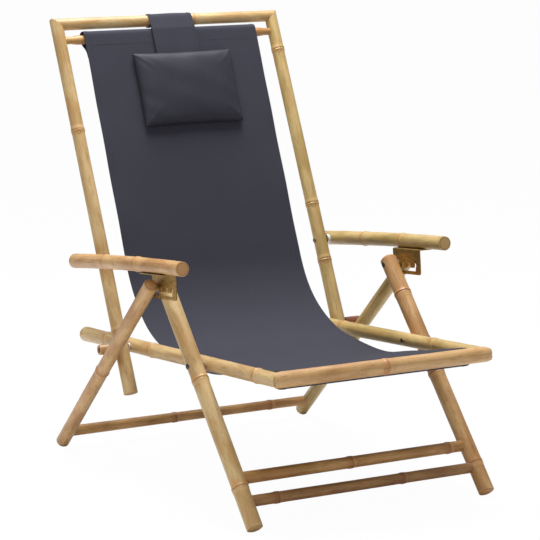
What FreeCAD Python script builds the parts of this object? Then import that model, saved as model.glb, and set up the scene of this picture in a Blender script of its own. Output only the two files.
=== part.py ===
import FreeCAD, Part
import math
import os

import Sketcher

os.makedirs("parts", exist_ok=True)

# Millimetres, Z up. The floor is at Z = 0, the chair faces -Y and +X is on the right seen
# from the front. The chair stands in its most upright notch.

doc = FreeCAD.newDocument("FoldingRecliner")
sheet = doc.addObject("Spreadsheet::Sheet", "Sizes")

SIZES = {
    # Where the four pivots lie, seen from the side.
    "seat_pivot_y": -174.2,
    "seat_pivot_z": 268.0,
    "back_pivot_y": 152.8,
    "back_pivot_z": 245.5,
    "arm_pivot_y": 228.8,
    "arm_pivot_z": 411.5,
    "leg_pivot_y": -55.2,
    "leg_pivot_z": 400.0,
    # How far each cane runs past its pivots.
    "seat_front_run": 264.6,
    "seat_rear_run": 245.5,
    "back_top_run": 690.1,
    "back_lower_run": 96.3,
    "leg_top_run": 18.0,
    "arm_rear_run": 63.3,
    "arm_front_run": 432.6,
    # The bow of the armrest over its straight chord, at its two middle joints.
    "arm_bow": 3.4,
    # Half the distance between the two seat rails, and the radius of each cane.
    "seat_rail_x": 220.0,
    "seat_rail_radius": 13.5,
    "front_rail_radius": 14.7,
    "back_pole_radius": 13.2,
    "top_rail_radius": 12.0,
    "front_leg_radius": 15.5,
    "rear_leg_radius": 13.75,
    "arm_radius": 14.0,
    "sling_rod_radius": 9.7,
    "upper_stretcher_radius": 10.75,
    "lower_stretcher_radius": 10.2,
    "rear_stretcher_radius": 10.0,
    "stub_radius": 10.2,
    "stub_bore": 6.4,
    "stub_length": 34.8,
    "stub_floor": 20.0,
    "stub_washer": 1.6,
    # Side gaps between neighbouring canes, filled by washers.
    "seat_gap": 1.6,
    "back_gap": 3.9,
    "leg_gap": 6.8,
    # Cross rods, measured along the canes they join.
    "upper_stretcher_at": 422.0,
    "lower_stretcher_at": 470.5,
    "rear_stretcher_at": 542.0,
    "rear_sling_rod_at": 35.4,
    "front_sling_rod_at": 27.8,
    "socket_depth": 7.5,
    # The knuckle of a cane: a low ring that rises and falls along it.
    "knuckle_swell": 1.0,
    "knuckle_reach": 8.0,
    "arm_knuckle_swell": 1.7,
    "mitre_corner_radius": 15.0,
    "front_corner_radius": 16.4,
    "foot_round": 1.8,
    "leg_top_round": 7.0,
    "rail_end_round": 2.0,
    # Bolts and washers.
    "bolt_radius": 3.0,
    "head_radius": 6.0,
    "head_height": 3.2,
    "head_seat_depth": 0.9,
    "nut_height": 3.6,
    "nut_flats": 10.0,
    "nut_seat_depth": 1.2,
    "washer_radius": 8.0,
    "arm_washer": 1.6,
    "arm_washer_radius": 11.0,
    "arm_spacer_radius": 10.5,
    "key_size": 4.0,
    "key_depth": 1.8,
    "arm_bolt_reach": 16.0,
    "pin_reach": 17.0,
    # The notched bracket under each armrest.
    "plate_thickness": 2.0,
    "bracket_rear": 17.0,
    "bracket_front": 84.0,
    "bracket_foot": 20.0,
    "bracket_corner": 5.0,
    "flange_width": 28.0,
    "bend_radius": 3.0,
    "notch_pitch": 22.0,
    "notch_half": 3.3,
    "notch_lean": 2.6,
    "slot_top": 6.4,
    "slot_height": 6.8,
    "slot_rear_lead": 1.0,
    "screw_radius": 2.0,
    "screw_head_radius": 4.2,
    "screw_head_height": 1.8,
    "screw_reach": 12.0,
    "rear_screw_at": 8.0,
    "front_screw_at": 60.0,
    # Fits. A running fit is the play of a pin in its hole, a face gap the play between faces.
    "running_fit": 0.05,
    "face_gap": 0.15,
    "cloth_gap": 0.4,
    # The cloth parts.
    "cloth_thickness": 1.5,
    "sling_half_width": 200.0,
    "sling_bend_y": 175.8,
    "sling_bend_z": 268.0,
    "sling_bend_radius": 230.0,
    "seat_dip_y": -100.2,
    "seat_dip_z": 232.0,
    "seat_dip_radius": 500.0,
    "pocket_front": 13.0,
    "pocket_top": 16.0,
    "pocket_drop": 9.6,
    "pocket_hem": 48.0,
    "front_hem": 44.0,
    "hem_overlap": 12.0,
    "strap_left": -46.0,
    "strap_right": 54.0,
    "strap_thickness": 1.4,
    "strap_drop": 78.0,
    "strap_tail": 60.0,
    "pillow_left": -106.0,
    "pillow_right": 125.0,
    "pillow_top": 77.0,
    "pillow_length": 161.0,
    "pillow_crown": 25.0,
    "pillow_back_bulge": 5.0,
    "pillow_draw_in": 4.5,
    "pillow_seam": 2.4,
}

for row, (name, value) in enumerate(SIZES.items(), start=1):
    sheet.set("A%d" % row, name)
    sheet.set("B%d" % row, repr(value))
    sheet.setAlias("B%d" % row, name)
doc.recompute()


def size(name):
    return float(sheet.get(name))


def side_point(y, z, x=0.0):
    return FreeCAD.Vector(x, y, z)


def unit(vector):
    return FreeCAD.Vector(vector).normalize()


def across(vector):
    """A side-view direction turned a quarter turn, to the left of its travel seen from +X."""
    return FreeCAD.Vector(0, -vector.z, vector.y)


# The pivots, and the directions of the canes that follow from them.
SEAT_PIVOT = side_point(size("seat_pivot_y"), size("seat_pivot_z"))
BACK_PIVOT = side_point(size("back_pivot_y"), size("back_pivot_z"))
ARM_PIVOT = side_point(size("arm_pivot_y"), size("arm_pivot_z"))
LEG_PIVOT = side_point(size("leg_pivot_y"), size("leg_pivot_z"))

SEAT_FORWARD = unit(SEAT_PIVOT - BACK_PIVOT)
BACK_UP = unit(ARM_PIVOT - BACK_PIVOT)
FRONT_LEG_DOWN = unit(SEAT_PIVOT - LEG_PIVOT)

# Cane centre lines to the side, each beside its neighbour with the named gap.
RAIL_X = size("seat_rail_x")
RAIL_OUTSIDE = RAIL_X + size("seat_rail_radius")
LEG_X = RAIL_OUTSIDE + size("seat_gap") + size("front_leg_radius")
LEG_INSIDE = LEG_X - size("front_leg_radius")
LEG_OUTSIDE = LEG_X + size("front_leg_radius")
POLE_X = RAIL_OUTSIDE + size("back_gap") + size("back_pole_radius")
POLE_INSIDE = POLE_X - size("back_pole_radius")
POLE_OUTSIDE = POLE_X + size("back_pole_radius")
REAR_X = LEG_OUTSIDE + size("leg_gap") + size("rear_leg_radius")
REAR_INSIDE = REAR_X - size("rear_leg_radius")
ARM_INSIDE = REAR_X - size("arm_radius")
PLATE_X = 0.5 * (LEG_OUTSIDE + REAR_INSIDE) - 0.5 * size("plate_thickness")


def resting_direction():
    """The rear leg leans on the stub: its centre line touches a circle around the back pivot."""
    reach = BACK_PIVOT - LEG_PIVOT
    offset = size("rear_leg_radius") + size("stub_radius") + 2 * size("face_gap")
    angle = math.atan2(reach.z, reach.y) - math.asin(offset / reach.Length)
    return side_point(math.cos(angle), math.sin(angle))


REAR_LEG_DOWN = resting_direction()


def foot_point(down, radius):
    """The end of a leg whose bevelled foot just touches the floor."""
    bevel = size("foot_round")
    height = max((radius - bevel) * abs(down.y), radius * abs(down.y) - bevel * abs(down.z))
    return LEG_PIVOT + down * ((LEG_PIVOT.z - height) / -down.z)


FRONT_FOOT = foot_point(FRONT_LEG_DOWN, size("front_leg_radius"))
REAR_FOOT = foot_point(REAR_LEG_DOWN, size("rear_leg_radius"))

SEAT_FRONT = SEAT_PIVOT + SEAT_FORWARD * size("seat_front_run")
SEAT_REAR = BACK_PIVOT - SEAT_FORWARD * size("seat_rear_run")
BACK_TOP = BACK_PIVOT + BACK_UP * size("back_top_run")
BACK_LOWER = BACK_PIVOT - BACK_UP * size("back_lower_run")
REAR_ROD = BACK_TOP - BACK_UP * size("rear_sling_rod_at")
FRONT_ROD = SEAT_FRONT - SEAT_FORWARD * size("front_sling_rod_at")

# The armrest rises gently to the front. Its chord runs from the back pole's pivot to the tip.
ARM_TIP = ARM_PIVOT + unit(side_point(-430.0, 47.0)) * size("arm_front_run")
ARM_FORWARD = unit(ARM_TIP - ARM_PIVOT)
ARM_UP = side_point(-ARM_FORWARD.z, ARM_FORWARD.y) * -1.0

nodes = []


def keep(feature, label):
    """Give a finished piece its name and remember it for export."""
    feature.Label = label
    nodes.append(feature)
    return feature


def frame_along(origin, direction, sideways):
    """A placement whose Z runs along the direction and whose X runs sideways."""
    z_axis = unit(direction)
    x_axis = unit(sideways)
    return FreeCAD.Placement(origin, FreeCAD.Rotation(x_axis, z_axis.cross(x_axis), z_axis, "ZXY"))


X_AXIS = FreeCAD.Vector(1, 0, 0)


def origin_plane(body, role):
    return next(feature for feature in body.Origin.OriginFeatures if feature.Role == role)


def sketch_on(body, role, name, offset=0.0):
    sketch = body.newObject("Sketcher::SketchObject", name)
    sketch.AttachmentSupport = [(origin_plane(body, role), "")]
    sketch.MapMode = "FlatFace"
    sketch.AttachmentOffset = FreeCAD.Placement(FreeCAD.Vector(0, 0, offset), FreeCAD.Rotation())
    return sketch


def flat(x, y):
    return FreeCAD.Vector(x, y, 0)


def draw_lines(sketch, points):
    """Close a loop of straight lines through the points."""
    for here, there in zip(points, points[1:] + points[:1]):
        sketch.addGeometry(Part.LineSegment(here, there), False)


def turned_body(name, outline, placement):
    """A body turned about its own Z axis.

    Each outline entry is a sheet name or None for the axis, an addition to that radius and
    a height. The radii stay bound to the sheet.
    """
    body = doc.addObject("PartDesign::Body", name)
    sketch = sketch_on(body, "XZ_Plane", name + "_outline")
    points = [flat((size(radius) if radius else 0.0) + extra, height) for radius, extra, height in outline]
    draw_lines(sketch, points)
    count = len(points)
    for index in range(count):
        sketch.addConstraint(Sketcher.Constraint("Coincident", index, 2, (index + 1) % count, 1))
    for index, (radius, extra, height) in enumerate(outline):
        sketch.addConstraint(Sketcher.Constraint("DistanceY", -1, 1, index, 1, height))
        if not radius and not extra:
            sketch.addConstraint(Sketcher.Constraint("PointOnObject", index, 1, -2))
            continue
        number = sketch.addConstraint(Sketcher.Constraint("DistanceX", -1, 1, index, 1, points[index].x))
        if radius:
            sketch.setExpression("Constraints[%d]" % number, "Sizes.%s + %.4f" % (radius, extra))
    turned = body.newObject("PartDesign::Revolution", name + "_turned")
    turned.Profile = sketch
    turned.ReferenceAxis = (sketch, ["V_Axis"])
    turned.Angle = 360.0
    sketch.Visibility = False
    body.Tip = turned
    body.Placement = placement
    doc.recompute()
    return body


def eased(radius, cut, steps):
    """Outline points that ease an end's outer edge from the end face to the side."""
    found = []
    for step in range(steps + 1):
        turn = 0.5 * math.pi * step / steps
        found.append((radius, -cut * (1 - math.sin(turn)), cut * (1 - math.cos(turn))))
    return found


def knuckle(radius, height, swell="knuckle_swell"):
    """Outline points of one cane joint, a ring steeper above than below."""
    reach = size("knuckle_reach")
    return [(radius, 0.0, height - reach), (radius, size(swell), height), (radius, 0.0, height + 0.8 * reach)]


def cane(name, radius, start, end, sideways, knuckles, start_cut=None, end_cut=None, steps=1):
    """A straight cane from start to end with joints at the given distances from its start."""
    length = (end - start).Length
    near = eased(radius, size(start_cut), steps) if start_cut else [(radius, 0.0, 0.0)]
    far = eased(radius, size(end_cut), 1) if end_cut else [(radius, 0.0, 0.0)]
    outline = [(None, 0.0, 0.0)] + near
    for height in sorted(knuckles):
        outline += knuckle(radius, height)
    outline += [(sheet_name, extra, length - height) for sheet_name, extra, height in reversed(far)]
    outline.append((None, 0.0, length))
    return turned_body(name, outline, frame_along(start, end - start, sideways))


def pocket(body, sketch, name):
    """Cut a sketch through the whole body, both ways."""
    before = body.Tip.Shape.Volume
    cut = body.newObject("PartDesign::Pocket", name)
    cut.Profile = sketch
    cut.Type = "ThroughAll"
    cut.Midplane = True
    sketch.Visibility = False
    body.Tip = cut
    doc.recompute()
    if not cut.Shape.Volume < before:
        raise RuntimeError("nothing was cut by " + name)


def side_cut(body, name, height, radius, start, depth, toward):
    """A round cut along the body's X axis, from start over its depth, toward +1 or -1."""
    sketch = sketch_on(body, "YZ_Plane", name + "_circle", start)
    sketch.addGeometry(Part.Circle(flat(0, height), FreeCAD.Vector(0, 0, 1), radius), False)
    before = body.Tip.Shape.Volume
    cut = body.newObject("PartDesign::Pocket", name)
    cut.Profile = sketch
    cut.Type = "Length"
    cut.Length = depth
    cut.Reversed = toward > 0
    sketch.Visibility = False
    body.Tip = cut
    doc.recompute()
    if not cut.Shape.Volume < before - 1.0:
        raise RuntimeError("nothing was cut by " + name)


def drill(body, name, height, radius):
    """A hole right across the cane."""
    reach = 2.5 * size("front_leg_radius")
    side_cut(body, name, height, radius, -reach, 2 * reach, 1)


def sink(body, name, height, radius, surface, depth, outward):
    """A shallow round seat in the side of a cane, from its surface inwards."""
    side_cut(body, name, height, radius, outward * (surface - depth), depth + 5.0, outward)


def pair(body, label):
    """The piece made for the right side together with its mirror image on the left."""
    mirror = doc.addObject("Part::Mirroring", body.Name + "_mirror")
    mirror.Source = body
    mirror.Normal = X_AXIS
    both = doc.addObject("Part::Compound", body.Name + "_pair")
    both.Links = [body, mirror]
    return keep(both, label)


def mitre(body, name, corner, end, neighbour, corner_radius):
    """Cut the end of a cane to a mitre with a rounded outer corner.

    The corner is the height where the centre lines meet, end is +1 or -1 for the end that is
    cut, and neighbour is the side along X on which the other cane leaves.
    """
    def at(lateral, beyond):
        return flat(-neighbour * lateral, corner + end * beyond)

    far = 45.0
    round_to = size(corner_radius)
    diagonal = round_to * math.sqrt(0.5)
    middle = math.radians(22.5)
    sketch = sketch_on(body, "XZ_Plane", name + "_outline")
    sketch.addGeometry(Part.LineSegment(at(-far, -far), at(diagonal, diagonal)), False)
    sketch.addGeometry(Part.Arc(at(diagonal, diagonal),
                                at(round_to * math.cos(middle), round_to * math.sin(middle)),
                                at(round_to, 0.0)), False)
    outer = [at(round_to, 0.0), at(far, 0.0), at(far, far), at(-far, far), at(-far, -far)]
    for here, there in zip(outer, outer[1:]):
        sketch.addGeometry(Part.LineSegment(here, there), False)
    pocket(body, sketch, name)


def along(start, direction, point):
    """How far along a cane a side-view point lies from its start."""
    return (point - start).dot(direction)


FIT = size("running_fit")
GAP = size("face_gap")
BOLT_HOLE = size("bolt_radius") + FIT
HEAD_SEAT = size("head_radius") + 1.2
SIDES = (("left", -1), ("right", 1))


# The seat: two side rails mitred to the front rail, and the rod that carries the sling.

SEAT_KNUCKLES = {"left": (95.0, 318.0, 746.0), "right": (60.0, 300.0, 645.0)}


def seat_rail(side, sign):
    start = SEAT_REAR + X_AXIS * (sign * RAIL_X)
    end = SEAT_FRONT + SEAT_FORWARD * 20.0 + X_AXIS * (sign * RAIL_X)
    radius = size("seat_rail_radius")
    body = cane("seat_rail_" + side, "seat_rail_radius", start, end, X_AXIS, SEAT_KNUCKLES[side],
                start_cut="rail_end_round")
    mitre(body, "seat_mitre_" + side, along(SEAT_REAR, SEAT_FORWARD, SEAT_FRONT), 1, -sign,
          "front_corner_radius")
    for pivot, name in ((SEAT_PIVOT, "seat"), (BACK_PIVOT, "back")):
        height = along(SEAT_REAR, SEAT_FORWARD, pivot)
        drill(body, "%s_bolt_hole_%s" % (name, side), height, BOLT_HOLE)
        sink(body, "%s_nut_seat_%s" % (name, side), height, size("nut_flats") * 0.62, radius,
             size("nut_seat_depth"), -sign)
    sink(body, "front_rod_socket_" + side, along(SEAT_REAR, SEAT_FORWARD, FRONT_ROD),
         size("sling_rod_radius") + FIT, radius, size("socket_depth") + GAP, -sign)
    return keep(body, "seat_rail_" + side)


def front_rail():
    reach = RAIL_X + 20.0
    start = SEAT_FRONT - X_AXIS * reach
    end = SEAT_FRONT + X_AXIS * reach
    body = cane("front_rail", "front_rail_radius", start, end, SEAT_FORWARD, (reach + 6.0,))
    mitre(body, "front_mitre_right", reach + RAIL_X, 1, -1, "front_corner_radius")
    mitre(body, "front_mitre_left", reach - RAIL_X, -1, -1, "front_corner_radius")
    return keep(body, "front_rail")


def cross_rod(name, radius, centre, inside, knuckles=(), forward=None):
    """A rod between two canes, its ends let into sockets in them."""
    half = inside + size("socket_depth")
    body = cane(name, radius, centre - X_AXIS * half, centre + X_AXIS * half,
                forward or FreeCAD.Vector(0, 1, 0), [half + x for x in knuckles])
    return keep(body, name)


for side, sign in SIDES:
    seat_rail(side, sign)
front_rail()
cross_rod("front_sling_rod", "sling_rod_radius", FRONT_ROD, RAIL_X - size("seat_rail_radius"))


# The back: two poles mitred to the top rail, and the rod in the sling's upper pocket.

BACK_KNUCKLES = {"left": (130.0, 562.0), "right": (235.0, 360.0, 709.0)}


def back_pole(side, sign):
    start = BACK_LOWER + X_AXIS * (sign * POLE_X)
    end = BACK_TOP + BACK_UP * 20.0 + X_AXIS * (sign * POLE_X)
    radius = size("back_pole_radius")
    body = cane("back_pole_" + side, "back_pole_radius", start, end, X_AXIS, BACK_KNUCKLES[side],
                start_cut="rail_end_round")
    mitre(body, "back_mitre_" + side, along(BACK_LOWER, BACK_UP, BACK_TOP), 1, -sign,
          "mitre_corner_radius")
    for pivot, name in ((BACK_PIVOT, "pole"), (ARM_PIVOT, "arm")):
        drill(body, "%s_bolt_hole_%s" % (name, side), along(BACK_LOWER, BACK_UP, pivot), BOLT_HOLE)
    sink(body, "arm_head_seat_" + side, along(BACK_LOWER, BACK_UP, ARM_PIVOT), HEAD_SEAT, radius,
         size("head_seat_depth"), -sign)
    sink(body, "rear_rod_socket_" + side, along(BACK_LOWER, BACK_UP, REAR_ROD),
         size("sling_rod_radius") + FIT, radius, size("socket_depth") + GAP, -sign)
    return keep(body, "back_pole_" + side)


def top_rail():
    reach = POLE_X + 20.0
    body = cane("top_rail", "top_rail_radius", BACK_TOP - X_AXIS * reach, BACK_TOP + X_AXIS * reach,
                BACK_UP, (reach + 62.0,))
    mitre(body, "top_mitre_right", reach + POLE_X, 1, -1, "mitre_corner_radius")
    mitre(body, "top_mitre_left", reach - POLE_X, -1, -1, "mitre_corner_radius")
    return keep(body, "top_rail")


for side, sign in SIDES:
    back_pole(side, sign)
top_rail()
cross_rod("rear_sling_rod", "sling_rod_radius", REAR_ROD, POLE_INSIDE)


# The legs: the front pair joined by two stretchers, the rear pair by one.

FRONT_LEG_KNUCKLES = {"left": (223.0, 458.0), "right": (90.0, 277.0, 482.0)}
REAR_LEG_KNUCKLES = {"left": (318.0,), "right": (412.0,)}


def front_leg(side, sign):
    top = LEG_PIVOT - FRONT_LEG_DOWN * size("leg_top_run")
    radius = size("front_leg_radius")
    shift = X_AXIS * (sign * LEG_X)
    body = cane("front_leg_" + side, "front_leg_radius", top + shift, FRONT_FOOT + shift, X_AXIS,
                FRONT_LEG_KNUCKLES[side], start_cut="leg_top_round", end_cut="foot_round", steps=2)
    top_height = size("leg_top_run")
    seat_height = along(top, FRONT_LEG_DOWN, SEAT_PIVOT)
    drill(body, "leg_bolt_hole_" + side, top_height, BOLT_HOLE)
    drill(body, "seat_hole_" + side, seat_height, BOLT_HOLE)
    sink(body, "leg_head_seat_" + side, top_height, HEAD_SEAT, radius, size("head_seat_depth"), -sign)
    sink(body, "seat_head_seat_" + side, seat_height, HEAD_SEAT, radius, size("head_seat_depth"), sign)
    for name in ("upper_stretcher", "lower_stretcher"):
        sink(body, "%s_socket_%s" % (name, side), top_height + size(name + "_at"),
             size(name + "_radius") + FIT, radius, size("socket_depth") + GAP, -sign)
    return keep(body, "front_leg_" + side)


def rear_leg(side, sign):
    top = LEG_PIVOT - REAR_LEG_DOWN * size("leg_top_run")
    radius = size("rear_leg_radius")
    shift = X_AXIS * (sign * REAR_X)
    body = cane("rear_leg_" + side, "rear_leg_radius", top + shift, REAR_FOOT + shift, X_AXIS,
                REAR_LEG_KNUCKLES[side], start_cut="leg_top_round", end_cut="foot_round", steps=2)
    top_height = size("leg_top_run")
    sink(body, "pin_hole_" + side, top_height, BOLT_HOLE, radius, size("pin_reach") + GAP, -sign)
    sink(body, "rear_socket_" + side, top_height + size("rear_stretcher_at"),
         size("rear_stretcher_radius") + FIT, radius, size("socket_depth") + GAP, -sign)
    return keep(body, "rear_leg_" + side)


for side, sign in SIDES:
    front_leg(side, sign)
for side, sign in SIDES:
    rear_leg(side, sign)
cross_rod("upper_front_stretcher", "upper_stretcher_radius",
          LEG_PIVOT + FRONT_LEG_DOWN * size("upper_stretcher_at"), LEG_INSIDE, (-205.0, 196.0))
cross_rod("lower_front_stretcher", "lower_stretcher_radius",
          LEG_PIVOT + FRONT_LEG_DOWN * size("lower_stretcher_at"), LEG_INSIDE, (-160.0, 122.0))
cross_rod("rear_stretcher", "rear_stretcher_radius",
          LEG_PIVOT + REAR_LEG_DOWN * size("rear_stretcher_at"), REAR_INSIDE, (-62.0,))


# The armrests. A grown cane bends a little at its joints, so each armrest is a row of round
# sections along three straight lengths.

ARM_KNUCKLES = {"left": (33.0, 211.0), "right": (100.0, 255.0)}


def arm_axis(distance):
    """The point and direction of the armrest's centre line, a shallow bow over its chord."""
    run = size("arm_front_run")
    bow = size("arm_bow")
    offset = 4 * bow * distance * (run - distance) / run ** 2
    return ARM_PIVOT + ARM_FORWARD * distance + ARM_UP * offset


def arm_sections(side):
    """Distances from the pivot with the radius added there."""
    rear = -size("arm_rear_run")
    front = size("arm_front_run")
    high = size("arm_knuckle_swell")
    reach = size("knuckle_reach")
    found = [(rear, -1.2), (rear + 1.2, 0.0)]
    for place in ARM_KNUCKLES[side]:
        found += [(place - 1.6 * reach, 0.0), (place, high), (place + reach, 0.0)]
    return found + [(front - 1.2, 0.0), (front, -1.2)]


def arm_centre(side, distance):
    """The centre line as straight lengths between the pivot, the joints and the tip."""
    stops = [0.0] + list(ARM_KNUCKLES[side]) + [size("arm_front_run")]
    low = max([stop for stop in stops[:-1] if stop <= distance] or [stops[0]])
    high = stops[stops.index(low) + 1]
    share = (distance - low) / (high - low)
    start = arm_axis(low)
    direction = arm_axis(high) - start
    return start + direction * share, unit(direction)


def bored_cane(name, sections, side, sign, holes):
    circles = []
    for number, (distance, extra) in enumerate(sections):
        centre, direction = arm_centre(side, distance)
        circle = doc.addObject("Part::Circle", "%s_ring_%d" % (name, number))
        circle.setExpression("Radius", "Sizes.arm_radius + %.4f" % extra)
        circle.Placement = frame_along(centre + X_AXIS * (sign * REAR_X), direction, X_AXIS)
        circle.Visibility = False
        circles.append(circle)
    loft = doc.addObject("Part::Loft", name + "_cane")
    loft.Sections = circles
    loft.Solid = True
    loft.Ruled = True
    drills = []
    for number, (start, direction, radius, depth) in enumerate(holes):
        tool = doc.addObject("Part::Cylinder", "%s_drill_%d" % (name, number))
        tool.Radius = radius
        tool.Height = depth
        tool.Placement = frame_along(start, direction, ARM_FORWARD.cross(direction))
        tool.Visibility = False
        drills.append(tool)
    cut = doc.addObject("Part::MultiFuse", name + "_drills")
    cut.Shapes = drills
    bored = doc.addObject("Part::Cut", name)
    bored.Base = loft
    bored.Tool = cut
    doc.recompute()
    return keep(bored, name)


def bracket_frame(side):
    """Forward and up for the bracket, square to the armrest above the leg pivot."""
    guess = along(ARM_PIVOT, ARM_FORWARD, LEG_PIVOT)
    centre, forward = arm_centre(side, guess + 40.0)
    up = side_point(-forward.z, forward.y) * -1.0
    return forward, up, (centre - LEG_PIVOT).dot(up) - size("arm_radius") - GAP


def screw_spots(side, sign):
    forward, up, top = bracket_frame(side)
    base = LEG_PIVOT + X_AXIS * (sign * REAR_X) + up * (top - size("plate_thickness"))
    return [base + forward * size(name) for name in ("rear_screw_at", "front_screw_at")], up


def armrest(side, sign):
    spots, up = screw_spots(side, sign)
    screw_hole = size("screw_radius") + FIT
    screw_depth = size("screw_reach") + size("plate_thickness") + GAP
    holes = [(spot, up, screw_hole, screw_depth) for spot in spots]
    start = ARM_PIVOT + X_AXIS * (sign * (ARM_INSIDE - 5.0))
    holes.append((start, X_AXIS * sign, BOLT_HOLE, size("arm_bolt_reach") + GAP + 5.0))
    return bored_cane("armrest_" + side, arm_sections(side), side, sign, holes)


for side, sign in SIDES:
    armrest(side, sign)


# The notched bracket, the latch of the recliner. Its plate hangs from the armrest beside the
# leg pivot. The pivot pin drops out of one notch into the slot below, slides along it and
# seats in the next notch.

def notch_window(sketch):
    """The window: a straight slot with four hooked notches above it."""
    half = size("notch_half")
    lean = size("notch_lean")
    pitch = size("notch_pitch")
    shoulder = -size("slot_top")
    bottom = shoulder - size("slot_height")
    rear = -half - lean - size("slot_rear_lead")
    parts = [Part.LineSegment(flat(rear, bottom), flat(-half - lean, shoulder))]
    for number in range(4):
        u = number * pitch
        rear_root = flat(u - half - lean, shoulder)
        rear_lip = flat(u - half, 0.0)
        front_lip = flat(u + half, 0.0)
        front_root = flat(u + half - 0.8 * lean, shoulder)
        parts.append(Part.Arc(rear_root, flat(u - half - 0.25 * lean, 0.55 * shoulder), rear_lip))
        parts.append(Part.Arc(rear_lip, flat(u, half), front_lip))
        parts.append(Part.Arc(front_lip, flat(u + half - 0.15 * lean, 0.5 * shoulder), front_root))
        if number < 3:
            parts.append(Part.LineSegment(front_root, flat(u + pitch - half - lean, shoulder)))
    end = 3 * pitch + half - lean
    parts.append(Part.LineSegment(parts[-1].EndPoint, flat(end, bottom)))
    parts.append(Part.LineSegment(flat(end, bottom), flat(rear, bottom)))
    for curve in parts:
        sketch.addGeometry(curve, False)


def rounded_plate(sketch, left, right, low, high, corner):
    """A rectangle with its two lower corners rounded."""
    diagonal = corner * (1 - math.sqrt(0.5))
    sketch.addGeometry(Part.LineSegment(flat(left, high), flat(left, low + corner)), False)
    sketch.addGeometry(Part.Arc(flat(left, low + corner), flat(left + diagonal, low + diagonal),
                                flat(left + corner, low)), False)
    sketch.addGeometry(Part.LineSegment(flat(left + corner, low), flat(right - corner, low)), False)
    sketch.addGeometry(Part.Arc(flat(right - corner, low), flat(right - diagonal, low + diagonal),
                                flat(right, low + corner)), False)
    sketch.addGeometry(Part.LineSegment(flat(right, low + corner), flat(right, high)), False)
    sketch.addGeometry(Part.LineSegment(flat(right, high), flat(left, high)), False)


def bracket(side, sign):
    """Sheet steel bent to an L: the notched plate, and a flange out under the armrest."""
    forward, up, top = bracket_frame(side)
    name = "bracket_" + side
    body = doc.addObject("PartDesign::Body", name)
    thickness = size("plate_thickness")
    rear = -size("bracket_rear")
    front = size("bracket_front")
    plate_sketch = sketch_on(body, "XY_Plane", name + "_outline")
    rounded_plate(plate_sketch, rear, front, -size("bracket_foot"), top, size("bracket_corner"))
    notch_window(plate_sketch)
    plate = body.newObject("PartDesign::Pad", name + "_plate")
    plate.Profile = plate_sketch
    plate.setExpression("Length", "Sizes.plate_thickness")
    plate.Reversed = sign > 0
    body.Tip = plate
    doc.recompute()
    flange_sketch = sketch_on(body, "XY_Plane", name + "_edge")
    draw_lines(flange_sketch, [flat(rear, top - thickness), flat(front, top - thickness),
                               flat(front, top), flat(rear, top)])
    flange = body.newObject("PartDesign::Pad", name + "_flange")
    flange.Profile = flange_sketch
    flange.setExpression("Length", "Sizes.flange_width")
    flange.Reversed = sign > 0
    body.Tip = flange
    doc.recompute()
    bend = [("Edge%d" % (number + 1)) for number, edge in enumerate(flange.Shape.Edges)
            if edge.BoundBox.XLength > front - rear - 1e-3 and edge.BoundBox.YMin > top - 1e-4
            and abs(edge.BoundBox.ZMin) < 1e-4]
    fillet = body.newObject("PartDesign::Fillet", name + "_bend")
    fillet.Base = (flange, bend)
    fillet.setExpression("Radius", "Sizes.bend_radius - 0.2")
    body.Tip = fillet
    doc.recompute()
    hole_sketch = sketch_on(body, "XZ_Plane", name + "_holes")
    outward = sign * -1.0
    for spot in ("rear_screw_at", "front_screw_at"):
        centre = flat(size(spot), outward * (REAR_X - PLATE_X))
        radius = size("screw_radius") + 2 * FIT
        hole_sketch.addGeometry(Part.Circle(centre, FreeCAD.Vector(0, 0, 1), radius), False)
    pocket(body, hole_sketch, name + "_screw_holes")
    inner = LEG_PIVOT + X_AXIS * (sign * PLATE_X)
    body.Placement = FreeCAD.Placement(inner, FreeCAD.Rotation(forward, up, forward.cross(up), "ZXY"))
    return keep(body, name)


for side, sign in SIDES:
    bracket(side, sign)


def screw(name, spot, up):
    """A pan-head screw pushed up through the flange."""
    low = -size("screw_head_height")
    outline = [(None, 0.0, low), ("screw_head_radius", -1.2, low), ("screw_head_radius", 0.0, low + 0.9),
               ("screw_head_radius", 0.0, -0.05), ("screw_radius", 0.0, -0.05),
               ("screw_radius", 0.0, size("screw_reach")), (None, 0.0, size("screw_reach"))]
    return turned_body(name, outline, frame_along(spot, up, X_AXIS))


def bracket_screws(side, sign):
    spots, up = screw_spots(side, sign)
    group = doc.addObject("Part::Compound", "bracket_screw_group_" + side)
    group.Links = [screw("bracket_screw_%s_%d" % (side, number), spot, up)
                   for number, spot in enumerate(spots)]
    return keep(group, "bracket_screws_" + side)


for side, sign in SIDES:
    bracket_screws(side, sign)


# Bolts, washers, nuts and stubs. Each is drawn for the right side and mirrored to the left.

def outward_frame(pivot, x, toward=1):
    return frame_along(pivot + X_AXIS * x, X_AXIS * toward, FreeCAD.Vector(0, 0, 1))


def key_recess(body, name, sides=6):
    """A hexagon recess sunk into a bolt head at the body's origin."""
    sketch = sketch_on(body, "XY_Plane", name + "_key")
    radius = size("key_size") / math.sqrt(3.0)
    draw_lines(sketch, [flat(radius * math.cos(k * math.pi / 3), radius * math.sin(k * math.pi / 3))
                        for k in range(sides)])
    cut = body.newObject("PartDesign::Pocket", name + "_recess")
    cut.Profile = sketch
    cut.Type = "Length"
    cut.setExpression("Length", "Sizes.key_depth")
    cut.Reversed = True
    body.Tip = cut
    doc.recompute()


def button_bolt(name, pivot, head_face, toward, reach):
    """A button-head bolt. Its head's top lies at head_face and its shank runs toward."""
    high = size("head_height")
    outline = [(None, 0.0, 0.0), ("head_radius", -2.6, 0.0), ("head_radius", 0.0, 0.6 * high),
               ("head_radius", 0.0, high), ("bolt_radius", 0.0, high),
               ("bolt_radius", 0.0, reach), (None, 0.0, reach)]
    body = turned_body(name, outline, outward_frame(pivot, head_face, toward))
    key_recess(body, name)
    return body


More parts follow.
